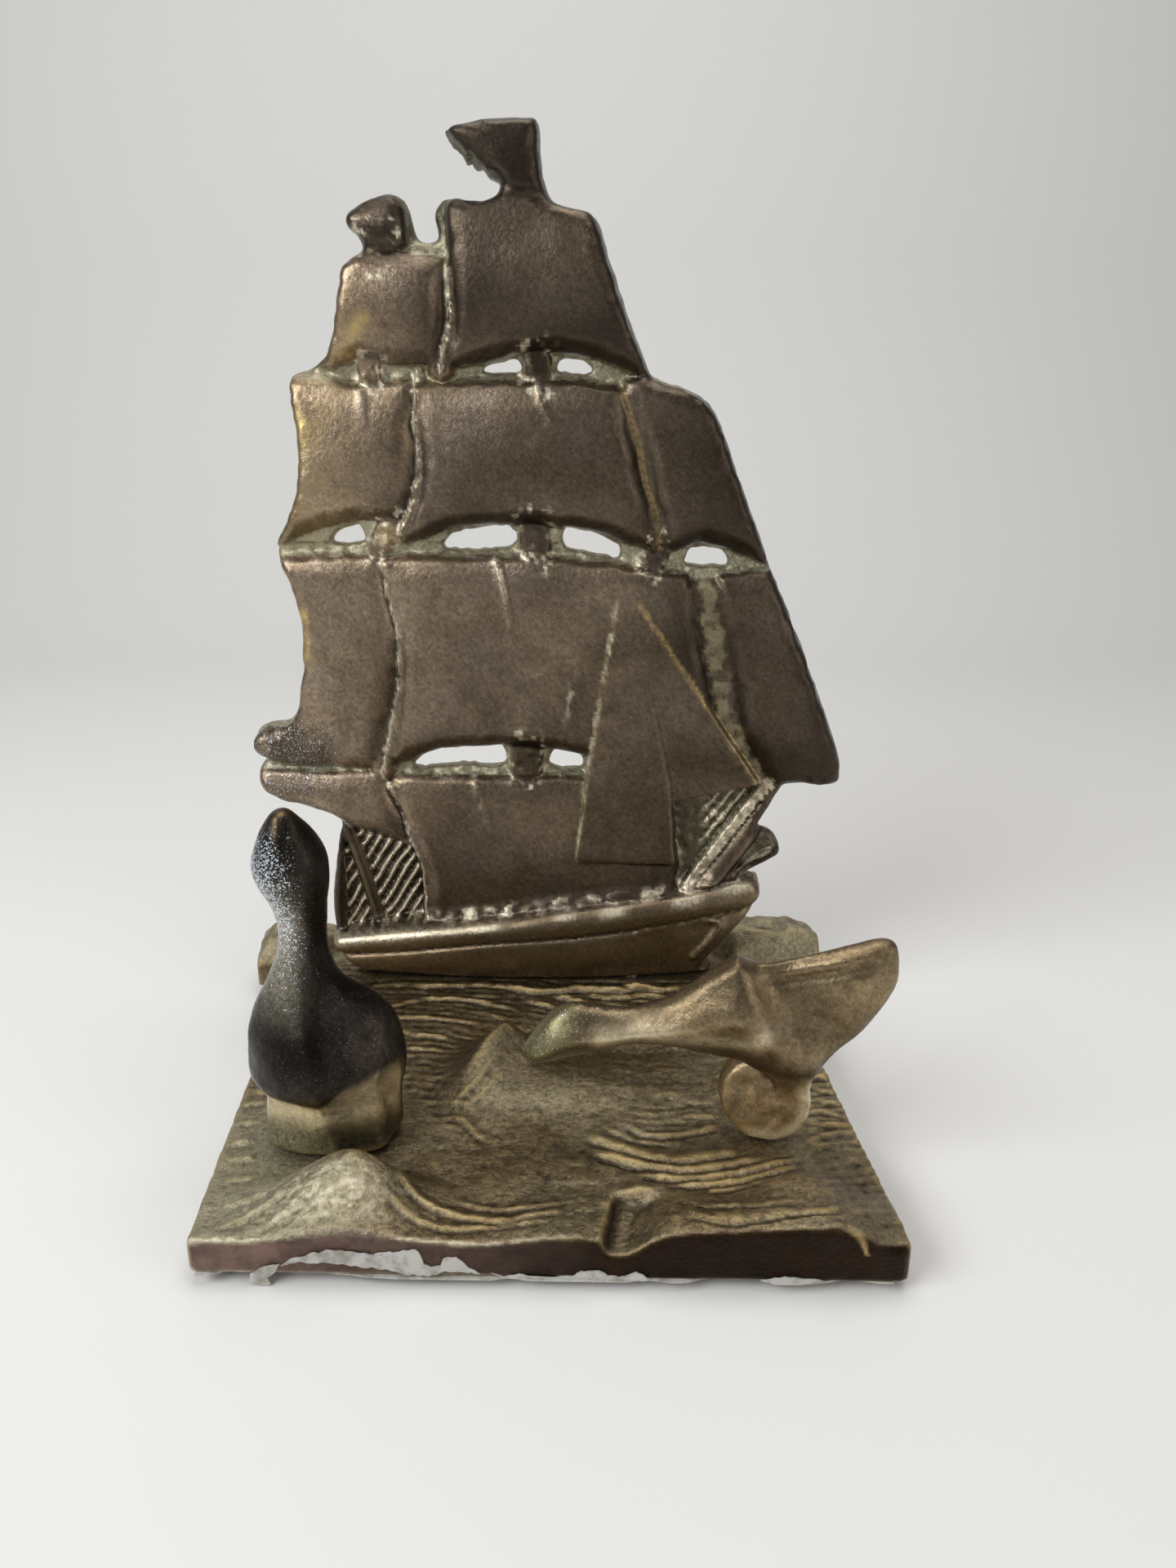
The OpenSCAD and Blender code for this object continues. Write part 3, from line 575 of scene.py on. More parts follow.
    # Hull with its rail, groove, bow scroll and rounded bilge
    rail_top, rail_foot = [np.interp(xs, *along(line).T)[:, None] for line in (RAIL_TOP, RAIL_FOOT)]
    rail_high = rail_top + RAIL_UP
    dent = 0.5 * ridge(np.hypot(x + 10.5, z - 23.2), 2.6)
    side = rig_back_y - hull_front_y - (x + 9) ** 2 / 460
    t = np.clip((z - (rail_high + rail_foot) / 2) / ((rail_high - rail_foot) / 2), -1.2, 1.2)
    bulge = 1 - np.sqrt(np.clip(1 - t ** 2, 0, 1))
    rail = side + 1.0 - np.where(t > 0, 3.0, 1.7) * bulge - dent
    bilge = side - 0.15 - 2.6 * (1 - ramp(sea_z - 1, rail_foot, z)) ** 2
    bilge -= 0.9 * ridge(z - rail_foot + 0.1, 0.5)
    bilge += 1.2 * ridge(to_curve(x, z, BOW_SCROLL), 0.9)
    hull = np.where(z > rail_foot, rail, bilge) + 0.5 * rough
    torn = noise(12, 1.4, x, z)
    flecks = ramp(-0.1, 0.4, torn + 0.5 * grit)
    deck = ramp(rail_high + 3.0, rail_high, z)
    height += deck * (1.1 + 0.6 * torn) * (x > -29)
    lift(cream, deck * flecks * ramp(-0.6, 0.3, noise(19, 6.0, x, z)))
    sunk = ramp(rail_high + 0.6, rail_high - 0.6, z)
    height += sunk * (hull - height)
    cream *= 1 - sunk
    lift(cream, 0.8 * sunk * ramp(0.8, 1.0, t) * flecks)
    # Cream along the top of the rail's moulding, in patches: wear and a painted highlight
    worn_and_lit_patches = ramp(-0.6, 0.3, noise(20, 5.0, x, z))
    lift(cream, 0.85 * sunk * worn_and_lit_patches * ridge(t - 0.55, 0.3))

    # The solid: front surface, drafted edge, flat rough back, and openings
    y = ys[None, :, None]
    inwards = np.clip(rig_back_y - y, 0, DRAFT_DEEP)
    ahead = (rig_back_y - height)[:, None, :] - y
    field = np.maximum(ahead, -1) / lean_of(height, STEP)[:, None, :] + np.minimum(ahead + 1, 0)
    draft = np.where(z < rail_top, 0.05, 0.1)[:, None, :]
    wall = edge[:, None, :] + draft * inwards
    field = smooth_max(field, wall, 2.0)
    back = rig_back_y + (hull_back_y - rig_back_y) * ramp(rail_top - 0.2, rail_top - 1.8, z)
    back -= 0.2 + 0.15 * np.abs(noise(13, 2.2, x, z))
    field = smooth_max(field, (y - back[:, None, :]) / lean_of(back, STEP)[:, None, :], 0.5)
    for outline in OPENINGS:
        hole = to_outline(x, z, along(outline, 3, closed=True)) + HOLE_IN + 0.25 * noise(14, 1.1, x, z)
        field = smooth_max(field, 0.10 * inwards - hole[:, None, :], 0.8)
    beside_wall = np.argwhere((np.abs(field) < 1.5) & (wall > -1.6))
    at_x, at_y, at_z = (low + STEP * beside_wall).T
    field[tuple(beside_wall.T)] += 0.16 * noise(16, 1.4, at_x, at_y, at_z) * (at_z > 24)
    field = np.maximum(field, (sea_z + 0.02 - zs)[None, None, :])
    piece, points, normals, proud = cast("ship_relief", field, low, STEP)

    # What the material reads
    at = cell_of(points[:, [0, 2]], low[[0, 2]], STEP, height.shape)
    px, pz = points[:, 0], points[:, 2]
    above = pz - rail_top[at[0], 0] - RAIL_UP
    rig = above > -0.5
    facing = -normals[:, 1]
    on_front = rig * (facing > 0)
    wall_part = ramp(0.5, 0.15, np.abs(facing)) * rig
    behind = ramp(0.0, 0.4, -facing)
    ground = ramp(4.0, 3.6, height[at]) * (facing > 0.2) * rig * ~panel[at]
    on_deck = ramp(5.0, 2.5, above) * ramp(-1.2, 0, above)
    outer = ramp(-3.5, -1.5, edge[at]) * rig
    paint_edges(piece, proud, wear=1 - 0.9 * outer, hollow=1 - 0.75 * on_deck)
    # Right rims of the sails near the front: painted shade in place of pale
    right_rim = ramp(0.25, 0.7, normals[:, 0]) * ramp(-8, -5, px) * rig
    right_rim *= ramp(rig_back_y - 0.8, rig_back_y - 2.4, points[:, 1])
    pale = np.maximum.reduce([0.9 * wall_part * (1 - 0.9 * right_rim), 0.85 * ground, 0.35 * behind])
    pale *= 1 - 0.5 * ramp(147, 149, pz) * (facing > 0)
    # Painted sheen: gold on the left parts of the left sails, as if lit from the left
    left_sheen = 0.3 * ramp(-32, -44, px) * ramp(92, 98, pz) * ramp(146, 142, pz) * (facing > 0.3)
    channel = olive[at] * (facing > 0.2)
    tip = ramp(36, 39, px) * ramp(42, 40, pz) * rig
    plain = 0.3 * ((right_depth > 0) & (right_strokes < 0.3))[at] * (facing > 0.2)
    # Painted shade: the sails darker towards their feet and on their outer edges and right rims
    shade = np.clip(1.25 * (down[at] - 0.55), -0.4, 1) * (down[at] > 0) * on_front
    shade += (panel * panel_shade * (1 - strokes))[at] * on_front
    # Masts, bars, boom tip and hatch ground darker too, and the front varies at random
    shade += 0.6 * mast[at] * (facing > 0) + 0.6 * tip
    # Painted light: the left sails brighter, as if lit from the left; painted shade on the right and upper
    # sails and the flags
    shade += 0.5 * bars[at] * rig - 0.9 * ramp(-18, -42, px) * ramp(160, 146, pz) * rig
    shade += 0.8 * ramp(10, 28, px) * ramp(49, 56, pz) + 0.5 * outer * (facing > 0)
    shade += 0.55 * ramp(122, 134, pz) * ramp(-26, -17, px)
    shade += 0.5 * ramp(146, 149, pz) * ramp(-20, -24, px)
    shade += 0.4 * ramp(152, 156, pz) + 0.9 * right_rim
    shade += 0.4 * noise(31, 13.0, px, pz) * on_front
    shade -= 0.3 * ramp(-14, -18, px) * ramp(124, 128, pz) * ramp(146, 143, pz)
    stub_dust = ramp(14, 5, np.hypot(px + 54, pz - 56))
    paint(piece, shade=shade, cream=cream[at] * (facing > 0.05),
          pale=pale * (1 - on_deck) * (1 - 0.6 * tip) + 0.4 * channel + plain,
          gold=gold[at] * (facing > 0) + 0.14 * ~rig + 0.4 * channel + left_sheen,
          dust=0.4 * stub_dust * (facing > 0.1))
    return piece


# Sea base

FRONT_CREST = (left_axis[0] + 4.5, left_axis[1] - front_y - 14.3)
# Crest in the middle: points in x, distance from the front edge and height
MID_CREST = [(-19.8, 34.6, 0.3), (-16.8, 37.4, 2.4), (-14, 41.5, 5), (-11.6, 46, 7), (-9.6, 49.4, 7.6)]
FLARE = 1.7
NOTCH_X = 9.8
NOTCH_LEAN = 0.16
# Level places around the gulls' studs, and the ends of the hull's foot
LEFT_SEAT = 12.0
RIGHT_SEAT = 6.4
HULL_LEFT = -38
HULL_RIGHT = 27
# How far the base leans to the left over its depth
SKEW = 6.4
HALF_W = 52.5
CORNER_R = 1.8
# Bank at the back: length past the sides, depth, and depth behind the hull
BANK_OUT = 8.0
BANK_D = 11.0
BANK_THIN = 3.4
# Lowest point of the sea, and the hollow underside with its wall
FLOOR_Z = 6.3
HOLLOW_Z = 5.2
WALL = 6
# Holes for the studs in the gulls and in the base
GULL_HOLE_R = 1.54
GULL_HOLE_TOP = 6.6
BASE_HOLE_R = GULL_HOLE_R + 0.01
# Bright chip on the front face: points in x and height
CHIP = [(44.8, 11.4), (46.2, 9.8), (47.2, 7.1)]


def side_shift(y):
    return -SKEW * (y - front_y) / (back_y - front_y)


# Distance from the front edge to the water at the hull
HULL_D = hull_front_y - front_y + 2.2
# Ripples: points in x and distance from the front edge, then height and width
RIPPLES = [
    ([(-32, HULL_D - 2.4), (-20, HULL_D - 1.4), (-9, HULL_D - 2.6)], 0.6, 0.9),
    ([(-14, HULL_D - 1.2), (-5, HULL_D - 3.6), (6, HULL_D - 1.6)], 0.8, 1),
    ([(0, HULL_D - 1.4), (9, HULL_D - 3.2), (19, HULL_D - 1.8)], 0.9, 1),
    ([(10, HULL_D - 1.2), (18, HULL_D - 2.2), (27, HULL_D - 2)], 0.8, 0.9),
    ([(4.4, 26.8), (12.2, 22.9), (17.2, 20.7), (22.5, 20.5), (35.2, 24), (41.9, 26.9)], 0.85, 1.25),
    ([(5.6, 23.4), (12.2, 19.9), (17.1, 18.4), (23.6, 17.9), (30.6, 19.7), (42.3, 24.2)], 0.95, 1.25),
    ([(13.4, 17.4), (18.6, 15.6), (25, 15.8), (31.6, 17.5), (41.5, 21.5)], 0.9, 1.15),
    ([(17.3, 14.1), (21.7, 13.6), (27.2, 13.7), (32.9, 15), (41.2, 19.2)], 0.8, 1.05),
    ([(21.6, 12.2), (26.3, 11.7), (31.2, 12.8), (36.5, 14.6)], 0.5, 0.7),
    ([(11, 30.4), (13.6, 28), (17.4, 26.4), (22.5, 27.2), (31.2, 29.8)], 0.5, 0.8),
    ([(19.3, 31.7), (24.5, 32), (29.7, 31.5)], 0.35, 0.7), ([(8, 29), (14, 25.2), (22, 24)], 0.35, 0.6),
    ([(18.9, 4.2), (23.3, 2.6), (28, 1.5), (36.3, 2.6), (46.7, 3.9)], -0.4, 0.5),
    ([(18.7, 9.4), (23.6, 6.8), (31.1, 6), (38.9, 6.8)], 0.3, 0.7),
    ([(-9, 71.4), (-4.7, 69), (0.5, 66.4)], 0.6, 0.9),
    ([(-3.2, 72.8), (2.4, 70.2), (7.6, 66.3), (13.7, 65.9), (20, 68.8)], 0.9, 1.1),
    ([(3.6, 72.9), (9.1, 71), (15.3, 72), (24, 73.2)], 0.6, 0.9),
    ([(-38, 64), (-31.4, 68.5), (-26.7, 70.4), (-19, 69.8), (-11.2, 67.2), (-5, 64.4)], 0.42, 0.8),
    ([(-36, 62), (-28, 63.1), (-21.6, 62.2), (-14.6, 60.6)], 0.34, 0.7),
    ([(-35, 59), (-27, 56.7), (-18.8, 55.8)], 0.3, 0.7), ([(-33, 54), (-26, 52), (-19.5, 51.4)], 0.25, 0.7),
    ([(-24, 47.6), (-20, 45.6), (-17.5, 45.8)], 0.28, 0.6),
    ([(-25, 42.6), (-21, 41.4), (-19, 41.6)], 0.35, 0.7), ([(-22, 66), (-14, 64.2), (-8, 61)], 0.28, 0.7),
    ([(20, 62), (27, 64.5), (33, 64)], 0.4, 0.8), ([(2, 62.5), (9, 60.2), (15, 61)], 0.4, 0.8),
    ([(-50.4, 2.5), (-46.7, 3.6), (-42.6, 6.2), (-39.4, 8.7), (-36.7, 11.7), (-35.7, 14.5)], 0.45, 0.8),
    ([(-46, 0.8), (-41.5, 2.4), (-37.7, 4.9), (-35, 7.7)], 0.4, 0.7),
    ([(-51, 7.4), (-45.9, 8.6), (-41.8, 10.4), (-38.9, 12.8)], 0.35, 0.7),
    ([(-24.6, 13.7), (-20.8, 9.7), (-17, 7.2), (-11.5, 5.7), (-5.8, 5), (4.1, 7.1)], 0.55, 0.75),
    ([(-26, 8.6), (-20.8, 5.2), (-14.9, 3.2), (-7.6, 3.8), (1.6, 4.6)], 0.45, 0.7),
    ([(-16, 10), (-9, 8), (-2, 8.2), (5, 9.6)], 0.35, 0.6), ([(-54.6, 33.4), (-49.6, 34.8)], 0.45, 0.7),
    ([(-54, 28.2), (-49, 29.4)], 0.45, 0.7), ([(-53.4, 23), (-46.7, 24)], 0.55, 0.7),
    ([(-52.6, 18.6), (-46.4, 19.5)], 0.4, 0.7), ([(-52, 13.6), (-45, 14.8)], 0.35, 0.7),
    ([(-19.1, 30.7), (-15.2, 29.7), (-12.2, 26), (-8.7, 24.1)], 0.35, 0.7),
    ([(-18, 33.4), (-14.4, 36.4), (-11.6, 40.2), (-9.2, 44.4)], 0.35, 0.5),
    ([(-16.4, 32), (-12.8, 34.8), (-9.8, 38.4), (-7.6, 42)], 0.3, 0.5),
    ([(-23, 33), (-17, 33.6), (-11, 30.6)], 0.25, 0.8), ([(45, 40.6), (50.6, 39.4)], 0.4, 0.7),
    ([(44.2, 37.2), (50.4, 36)], 0.45, 0.7), ([(43.4, 34), (50.4, 32.8)], 0.45, 0.7),
    ([(43, 30.6), (50.6, 29.6)], 0.4, 0.7), ([(45, 44.6), (50, 43.6)], 0.35, 0.7)]


def stroke(x, d, points, width):
    """Ripple that fades at its ends, with a thin groove along its near side."""
    p = along(points)
    line = np.interp(x, p[:, 0], p[:, 1])
    lean = np.interp(x, p[:, 0], np.gradient(p[:, 1], p[:, 0]))
    s = (d - line) / np.sqrt(1 + lean ** 2)
    start, end = p[0, 0], p[-1, 0]
    run = min(5.0, 0.4 * (end - start))
    fade = ramp(start, start + run, x) * ramp(end, end - run, x)
    return fade * (ridge(s, width) - 0.8 * ridge(s + 1.2 * width, 0.5 * width))


def beside(x, d, line):
    """Signed distance to a line, positive on its left, and the line's own height at the nearest point."""
    p = along(line)
    best = np.full(x.shape, FAR)
    side, level = np.zeros(x.shape), np.zeros(x.shape)
    for a, b in zip(p[:-1], p[1:]):
        ux, ud = b[:2] - a[:2]
        t = np.clip(((x - a[0]) * ux + (d - a[1]) * ud) / (ux ** 2 + ud ** 2), 0, 1)
        ex, ed = x - a[0] - t * ux, d - a[1] - t * ud
        nearer = np.hypot(ex, ed) < best
        best = np.where(nearer, np.hypot(ex, ed), best)
        side = np.where(nearer, np.sign(ux * ed - ud * ex), side)
        level = np.where(nearer, a[2] + t * (b[2] - a[2]), level)
    return best * side, level


def crest_share(aside):
    """Share of the crest's height beside its line, steeper on the left."""
    return np.exp(-np.abs(aside / np.where(aside > 0, 4.6, 5.6)) ** 1.5)


def notch(x, d, left, right):
    """Share of the notch's depth, from its steep left wall to its long right slope."""
    trough = NOTCH_X + NOTCH_LEAN * d
    return ramp(12.2, 9.4, d) * ramp(trough - left, trough - 0.1, x) * ramp(trough + right, trough + 0.2, x)


def sea_heights(x, d):
    """Height of the sea above its mean level, and of the ripples on it, at x and distance from the front."""
    swell = 7.4 * spot(x, d, FRONT_CREST, (9.5, 8.5, 8.0, 2.4))
    swell += 1.2 * spot(x, d, (FRONT_CREST[0] + 1, 4), (16, 14, 8, 8))
    aside, level = beside(x, d, MID_CREST)
    swell += level * crest_share(aside) * ramp(55.5, 51.0, d)
    swell += 2.4 * spot(x, d, (-1, 40), (10, 18, 9, 7))
    swell += 4.0 * spot(x, d, (HALF_W - 11, 3), (17, 9, 9, 8))
    swell += 2.2 * spot(x, d, (HALF_W - 12, 12), (8, 6, 4, 5))
    swell += 1.8 * spot(x, d, (3, 0), (9, 7, 5, 8)) + 2.0 * spot(x, d, (20, 3), (8, 12, 7, 8))
    swell -= 3.1 * notch(x, d, 1.5, 9.0)
    swell += 1.0 * spot(x, d, (NOTCH_X + 4, 11.5), (2.2, 5, 2.5, 2.2))
    ripple = 0.2 * noise(21, 7.0, x, 2.2 * d) + 0.17 * noise(26, 1.3, x, d)
    for points, height, width in RIPPLES:
        ripple += 0.95 * height * stroke(x, d, points, width)
    lined = np.full(x.shape, 0.12)
    lift(lined, 0.75 * ramp(-12, -17, x) * ramp(24, 30, d))
    lift(lined, 0.8 * np.maximum(ramp(56, 63, d), ramp(40, 44, x)))
    lift(lined, 0.7 * spot(x, d, (20, 31), (11, 12, 6, 5)))
    lift(lined, 0.6 * spot(x, d, (-32, 6), (16, 14, 5, 5)))
    patchy = 0.65 + 0.35 * noise(22, 9.0, 0.5 * x, d)
    phase = (d + swell + 2.7 * np.sin(0.055 * x + 0.4) + 1.4 * noise(23, 8.0, x, d)) / 2.2
    ripple += 0.22 * lined * patchy * np.sin(2 * np.pi * phase)
    return swell, ripple


def sea_base():
    low = np.array([base_low[0] - 1, front_y - 1, base_z - 1])
    high = np.array([base_high[0] + 1, back_y + 1, base_high[2] + 1])
    xs, ys, zs = grid(low, high, STEP)
    x, y = np.meshgrid(xs, ys, indexing="ij")
    d = y - front_y
    swell, ripple = sea_heights(x, d)
    from_left = np.hypot(x - left_axis[0], y - left_axis[1])
    from_right = np.hypot(x - right_axis[0], y - right_axis[1])
    under_hull = 1 - ramp(2, 4.5, np.maximum(HULL_LEFT - x, x - HULL_RIGHT))
    under_hull *= 1 - ramp(-3.2, -2.4, hull_front_y - y)
    calm = np.maximum.reduce([1 - ramp(LEFT_SEAT, LEFT_SEAT + 2.4, from_left),
                              1 - ramp(RIGHT_SEAT, RIGHT_SEAT + 2.6, from_right), under_hull])
    still = np.maximum(calm, 1 - ramp(LEFT_SEAT + 2, LEFT_SEAT + 3.5, from_left))
    ripple = ripple * (1 - still)
    bank_y = back_y - BANK_D
    rear = 1 - ramp(bank_y - 1, bank_y + 4, y)
    sea = sea_z + ((swell - 0.35) * (1 - calm) + ripple) * rear - 0.12 * calm
    out = ramp(-46, -53, x) + ramp(29, 37, x)
    rocks = 1.1 * noise(24, 4.5, x, y) + 0.5 * noise(25, 2.0, x, y)
    shift = side_shift(y)
    end_x = np.abs(x - shift) - HALF_W - BANK_OUT
    top = np.where(x < 0, 5.2, 7.1) + rocks - 3.0 * ramp(-5, 0.5, end_x)
    start = back_y - BANK_THIN - out * (BANK_D - BANK_THIN)
    sea += (2.2 + out * (top - 2.2)) * ramp(start - 0.5, start + 4.5, y)
    sea -= 0.9 * ramp(1.6, 0, d) * ramp(40, 52, x)
    sea = np.maximum(sea, FLOOR_Z)

    # The solid: sea, edge with a rounded corner, underside, hollow and stud holes
    flare = FLARE * ramp(48, 0, d)
    side = np.abs(x - shift) - HALF_W - flare * (x > 0)
    bank = np.maximum(end_x, bank_y - y)
    edge = np.maximum(smooth_min(side, bank, 1.2), np.maximum(-d, y - back_y))
    past_x = np.maximum(x - shift - HALF_W - flare + CORNER_R, 0)
    corner = np.hypot(past_x, np.maximum(CORNER_R - d, 0)) - CORNER_R
    edge = np.maximum(edge, np.where((x > 40) & (y < 0), corner, UNCUT))
    edge += 0.12 + 0.1 * noise(27, 4.0, x, y)
    edge += 0.15 * (y > 0)
    z = zs[None, None, :]
    field = (z - sea[:, :, None]) / lean_of(sea, STEP)[:, :, None]
    field = smooth_max(field, edge[:, :, None] + 0 * z, 0.8)
    field = smooth_max(field, base_z - z, 0.4)
    pocket = np.maximum.reduce([side + WALL, WALL - d, y - back_y + WALL])
    field = np.maximum(field, -np.maximum(pocket[:, :, None], z - HOLLOW_Z))
    for from_axis in (from_left, from_right):
        field = np.maximum(field, (BASE_HOLE_R - from_axis)[:, :, None])
    piece, points, normals, proud = cast("sea_base_waves", field, low, STEP)

    # What the material reads
    at = cell_of(points[:, :2], low[:2], STEP, sea.shape)
    px, py, pz = points.T
    pd, up = py - front_y, normals[:, 2]
    paint_edges(piece, 1.7 * proud, wear=1 - 0.7 * ramp(3.2, 1.0, pd))
    in_bank = ramp(bank_y - 1, bank_y + 2, py) * ramp(28, 34, np.abs(px - 4))
    pale = 0.45 * spot(px, pd, (FRONT_CREST[0] + 1, FRONT_CREST[1] - 4), (9, 8, 6, 3)) + 0.45 * in_bank
    pale += 0.4 * spot(px, pd, (-3, 35), (9, 12, 5, 5)) + 0.3 * spot(px, pd, (10, 26), (7, 7, 3, 3))
    # Painted light: the front left of the sea paler, as if lit from the left and front
    pale += 0.7 * ramp(-22, -42, px) * ramp(40, 25, pd)
    aside, level = beside(px, pd, MID_CREST)
    crest = crest_share(aside) * level / 7
    pale += 0.12 * crest * ramp(0.3, -1.5, aside)
    olive = crest * ramp(0.2, 1.4, aside)
    # The front face is darker towards the right through dim, partly its own tone and partly painted shade
    face = ramp(0.45, 0.8, -normals[:, 1]) * ramp(3, 1, pd)
    # Painted shade on the notch's steep left wall; the right front darker
    shade = 1.1 * notch(px, pd, 1.9, 1.0) + 0.35 * ramp(38, 48, px) * ramp(40, 20, pd)
    # Painted shadow on the sea just in front of the hull
    shade += 0.25 * ramp(60, 72, pd) * (1 - in_bank)
    shade += 1.3 * olive
    chip = ridge(to_line(px, pz, CHIP), 0.2 + 0.25 * ramp(7.5, 10, pz)) * ramp(2.0, 1.0, pd)
    lip = ramp(0.4, 1.0, proud) * ramp(1.0, 0.5, pd) * ramp(8, -12, px)
    crumbs = ramp(0.0, 0.45, noise(28, 1.1, px, 1.8 * pd))
    crumbs *= spot(px, pd, (FRONT_CREST[0] - 2, FRONT_CREST[1] - 5), (13, 9, 6, 4)) * ramp(1.5, 3.0, pd)
    # crest: the ripples' tops, which get gold as a painted highlight
    paint(piece, pale=pale * (1 - np.clip(2 * olive, 0, 1)) * (up > 0.1),
          crest=ripple[at] * (up > 0.2), front=face, dim=face * ramp(-45, 15, px),
          shade=np.clip(shade, *SHADE_RANGE) * (1 - face), gold=1.3 * chip,
          cream=np.maximum(0.6 * lip, 0.65 * crumbs), dust=0.05 * (1 - face) * (up > 0.2))
    return piece


# Gulls, each in millimetres from the middle of its seat

def section(stations, s):
    """Values between stations along a body; each station starts with its place."""
    p = np.array(stations, float)
    fine = along(p, 6)
    order = np.argsort(fine[:, 0])
    return [np.interp(s, fine[order, 0], fine[order, k]) for k in range(1, p.shape[1])]


def bored(field, x, y, z):
    """Field with the hole for a gull's stud."""
    return np.maximum(field, np.where(z < GULL_HOLE_TOP, GULL_HOLE_R - np.hypot(x, y), UNCUT))


# Left gull, beak up: height above its seat, centre x, centre y, half width, half depth
LEFT_RINGS = [
    (9, -1.5, -0.4, 11.6, 7.9), (12, -1.8, -0.7, 12.4, 8.6), (16, -2.1, -0.4, 12.2, 8.5),
    (20, -3, 0.2, 11, 7.7), (24.5, -4, 0.9, 8.6, 6.3), (29, -4.7, 1.3, 5.6, 5), (33.5, -4.4, 1.5, 4, 4.2),
    (38, -4.2, 1.5, 3.8, 4), (42, -4.4, 1.3, 4.5, 4.5), (46.5, -5, 1, 5.7, 5.5), (50, -5.1, 0.8, 5.6, 5.3),
    (53.5, -5.2, 0.6, 4.1, 4.1), (56.2, -5.5, 0.3, 2.2, 2.6), (57.6, -5.6, 0.1, 0.9, 1.4)]
LEFT_TOP = 57.6
# Faceted foot under the breast, seen from above
LEFT_FOOT = [(-8.4, -3.2), (-1.8, -5.6), (5.4, -3.4), (6.6, 1.6), (2.4, 5.6), (-4.2, 5.8), (-8.6, 2)]
FOOT_ROUND = 2.9
# Height of the crease over the foot, and how it rises to the right
HEM_Z = 10.6
HEM_RISE = 0.24


def hem_at(x):
    return HEM_Z + HEM_RISE * np.maximum(x + 1.8, 0)


def left_gull():
    low = np.array([-15.5, -11.0, -1.0])
    high = np.array([12.0, 11.0, 59.5])
    xs, ys, zs = grid(low, high, GULL_STEP)
    x, y, z = np.meshgrid(xs, ys, zs, indexing="ij")
    cx, cy, half_w, half_d = section(LEFT_RINGS, zs)
    round_x, round_y = np.abs((x - cx) / half_w), np.abs((y - cy) / half_d)
    near = ramp(1, -3, y)
    keel = 2 - 0.42 * near * ramp(36, 22, z)
    body = ((round_x ** keel + round_y ** keel) ** (1 / keel) - 1) * np.minimum(half_w, half_d)
    back = np.sqrt(((x - 1.2) / 9.2) ** 2 + ((y - 3.0) / 5.6) ** 2 + ((z - 15) / 11.5) ** 2) - 1
    body = smooth_min(body, 5.6 * back, 1.6)
    body += 0.4 * ridge(x + 4.4, 0.7) * near * ramp(50, 55, z)
    body += 0.35 * ramp(1.0, 5.0, x + 2.5) * near * ramp(40, 26, z)
    hem = hem_at(x)
    cut = hem - 14 * ramp(-2.0, 1.5, x)
    body = smooth_max(body, np.maximum(cut - z, z - LEFT_TOP), 0.9)
    plan = to_outline(xs[:, None], ys[None, :], np.array(LEFT_FOOT)) - FOOT_ROUND
    foot = plan[:, :, None] - 0.7 * ramp(4.0, 1.0, z) + 0.25 * ramp(6, 11, z)
    foot += 1.5 * ramp(6.5, 0.5, z) * ridge(x + 1.8, 2.6) * ramp(-4, -8, y)
    foot = smooth_max(foot, z - hem - 2.0, 0.8)
    pits = noise(33, 1.4, x, y, z)
    foot += (0.35 + 0.25 * pits) * ridge(x + 1.7, 0.45) * ramp(-4, -6, y) * ramp(4, 8, z)
    field = smooth_min(body, foot, 0.45)
    field = smooth_max(field, -z, 3.6)
    field += 0.10 * noise(31, 3.0, x, y, z) + 0.05 * noise(32, 1.1, x, y, z)
    field = bored(field, x, y, z)
    seat = np.array([left_axis[0], left_axis[1], seat_z])
    piece, points, normals, proud = cast("left_gull_casting", field, low + seat, GULL_STEP)

    # What the material reads
    paint_edges(piece, proud)
    px, _, pz = (points - seat).T
    crease = hem_at(px)
    soft = 2.2 * ramp(-1.6, 3.0, px)
    below = ramp(crease + 0.3 + soft, crease - 0.5 - 0.5 * soft, pz)
    nose = ramp(0.1, 0.5, -normals[:, 1])
    # Sides facing left get flakes of dust and painted glints of sky light, and a painted highlight down the
    # neck
    left = ramp(-0.3, 0.9, -normals[:, 0] - 0.4 * normals[:, 1]) * ramp(57, 51, pz)
    neck_highlight = 0.3 * left * ramp(20, 30, pz) * ramp(50, 40, pz)
    # Gold and cream on the foot's front as painted reflection and highlight, most below the crease and along
    # the bottom rim
    paint(piece, gold=below * ramp(3.0, 9.0, pz) * nose + 0.6 * ramp(2.6, 1.0, pz) * nose,
          pale=(0.6 - 0.4 * ramp(-2, 2, px)) * ramp(crease, 6, pz),
          dust=np.maximum(left * ramp(22, 40, pz), 0.04 - 0.03 * below),
          cream=neck_highlight + 0.4 * below * nose * ramp(5, 9, pz))
    return piece


# Right gull, flying to the left: outline in x and height
RIGHT_EDGE = [
    (-40, 15.8), (-38.2, 19.4), (-35, 23.4), (-31.5, 25), (-27.5, 24.6), (-22, 24.2), (-16, 26.2),
    (-11, 30), (-6.4, 33.4), (-5.2, 33.5), (-1, 32.3), (6.5, 34.2), (12.5, 36), (16.2, 37), (18.6, 36.4),
    (19.5, 33.6), (19.3, 28.5), (15, 20.8), (10, 15.6), (7.2, 10.4), (6.6, 5), (5, 1.2), (1.6, 1.4), (2, 7),
    (0.6, 11.6), (-5, 14.6), (-10.5, 15.6), (-16, 17), (-21.8, 17.3), (-27.5, 15.8), (-33, 14.6),
    (-37.6, 14.4)]
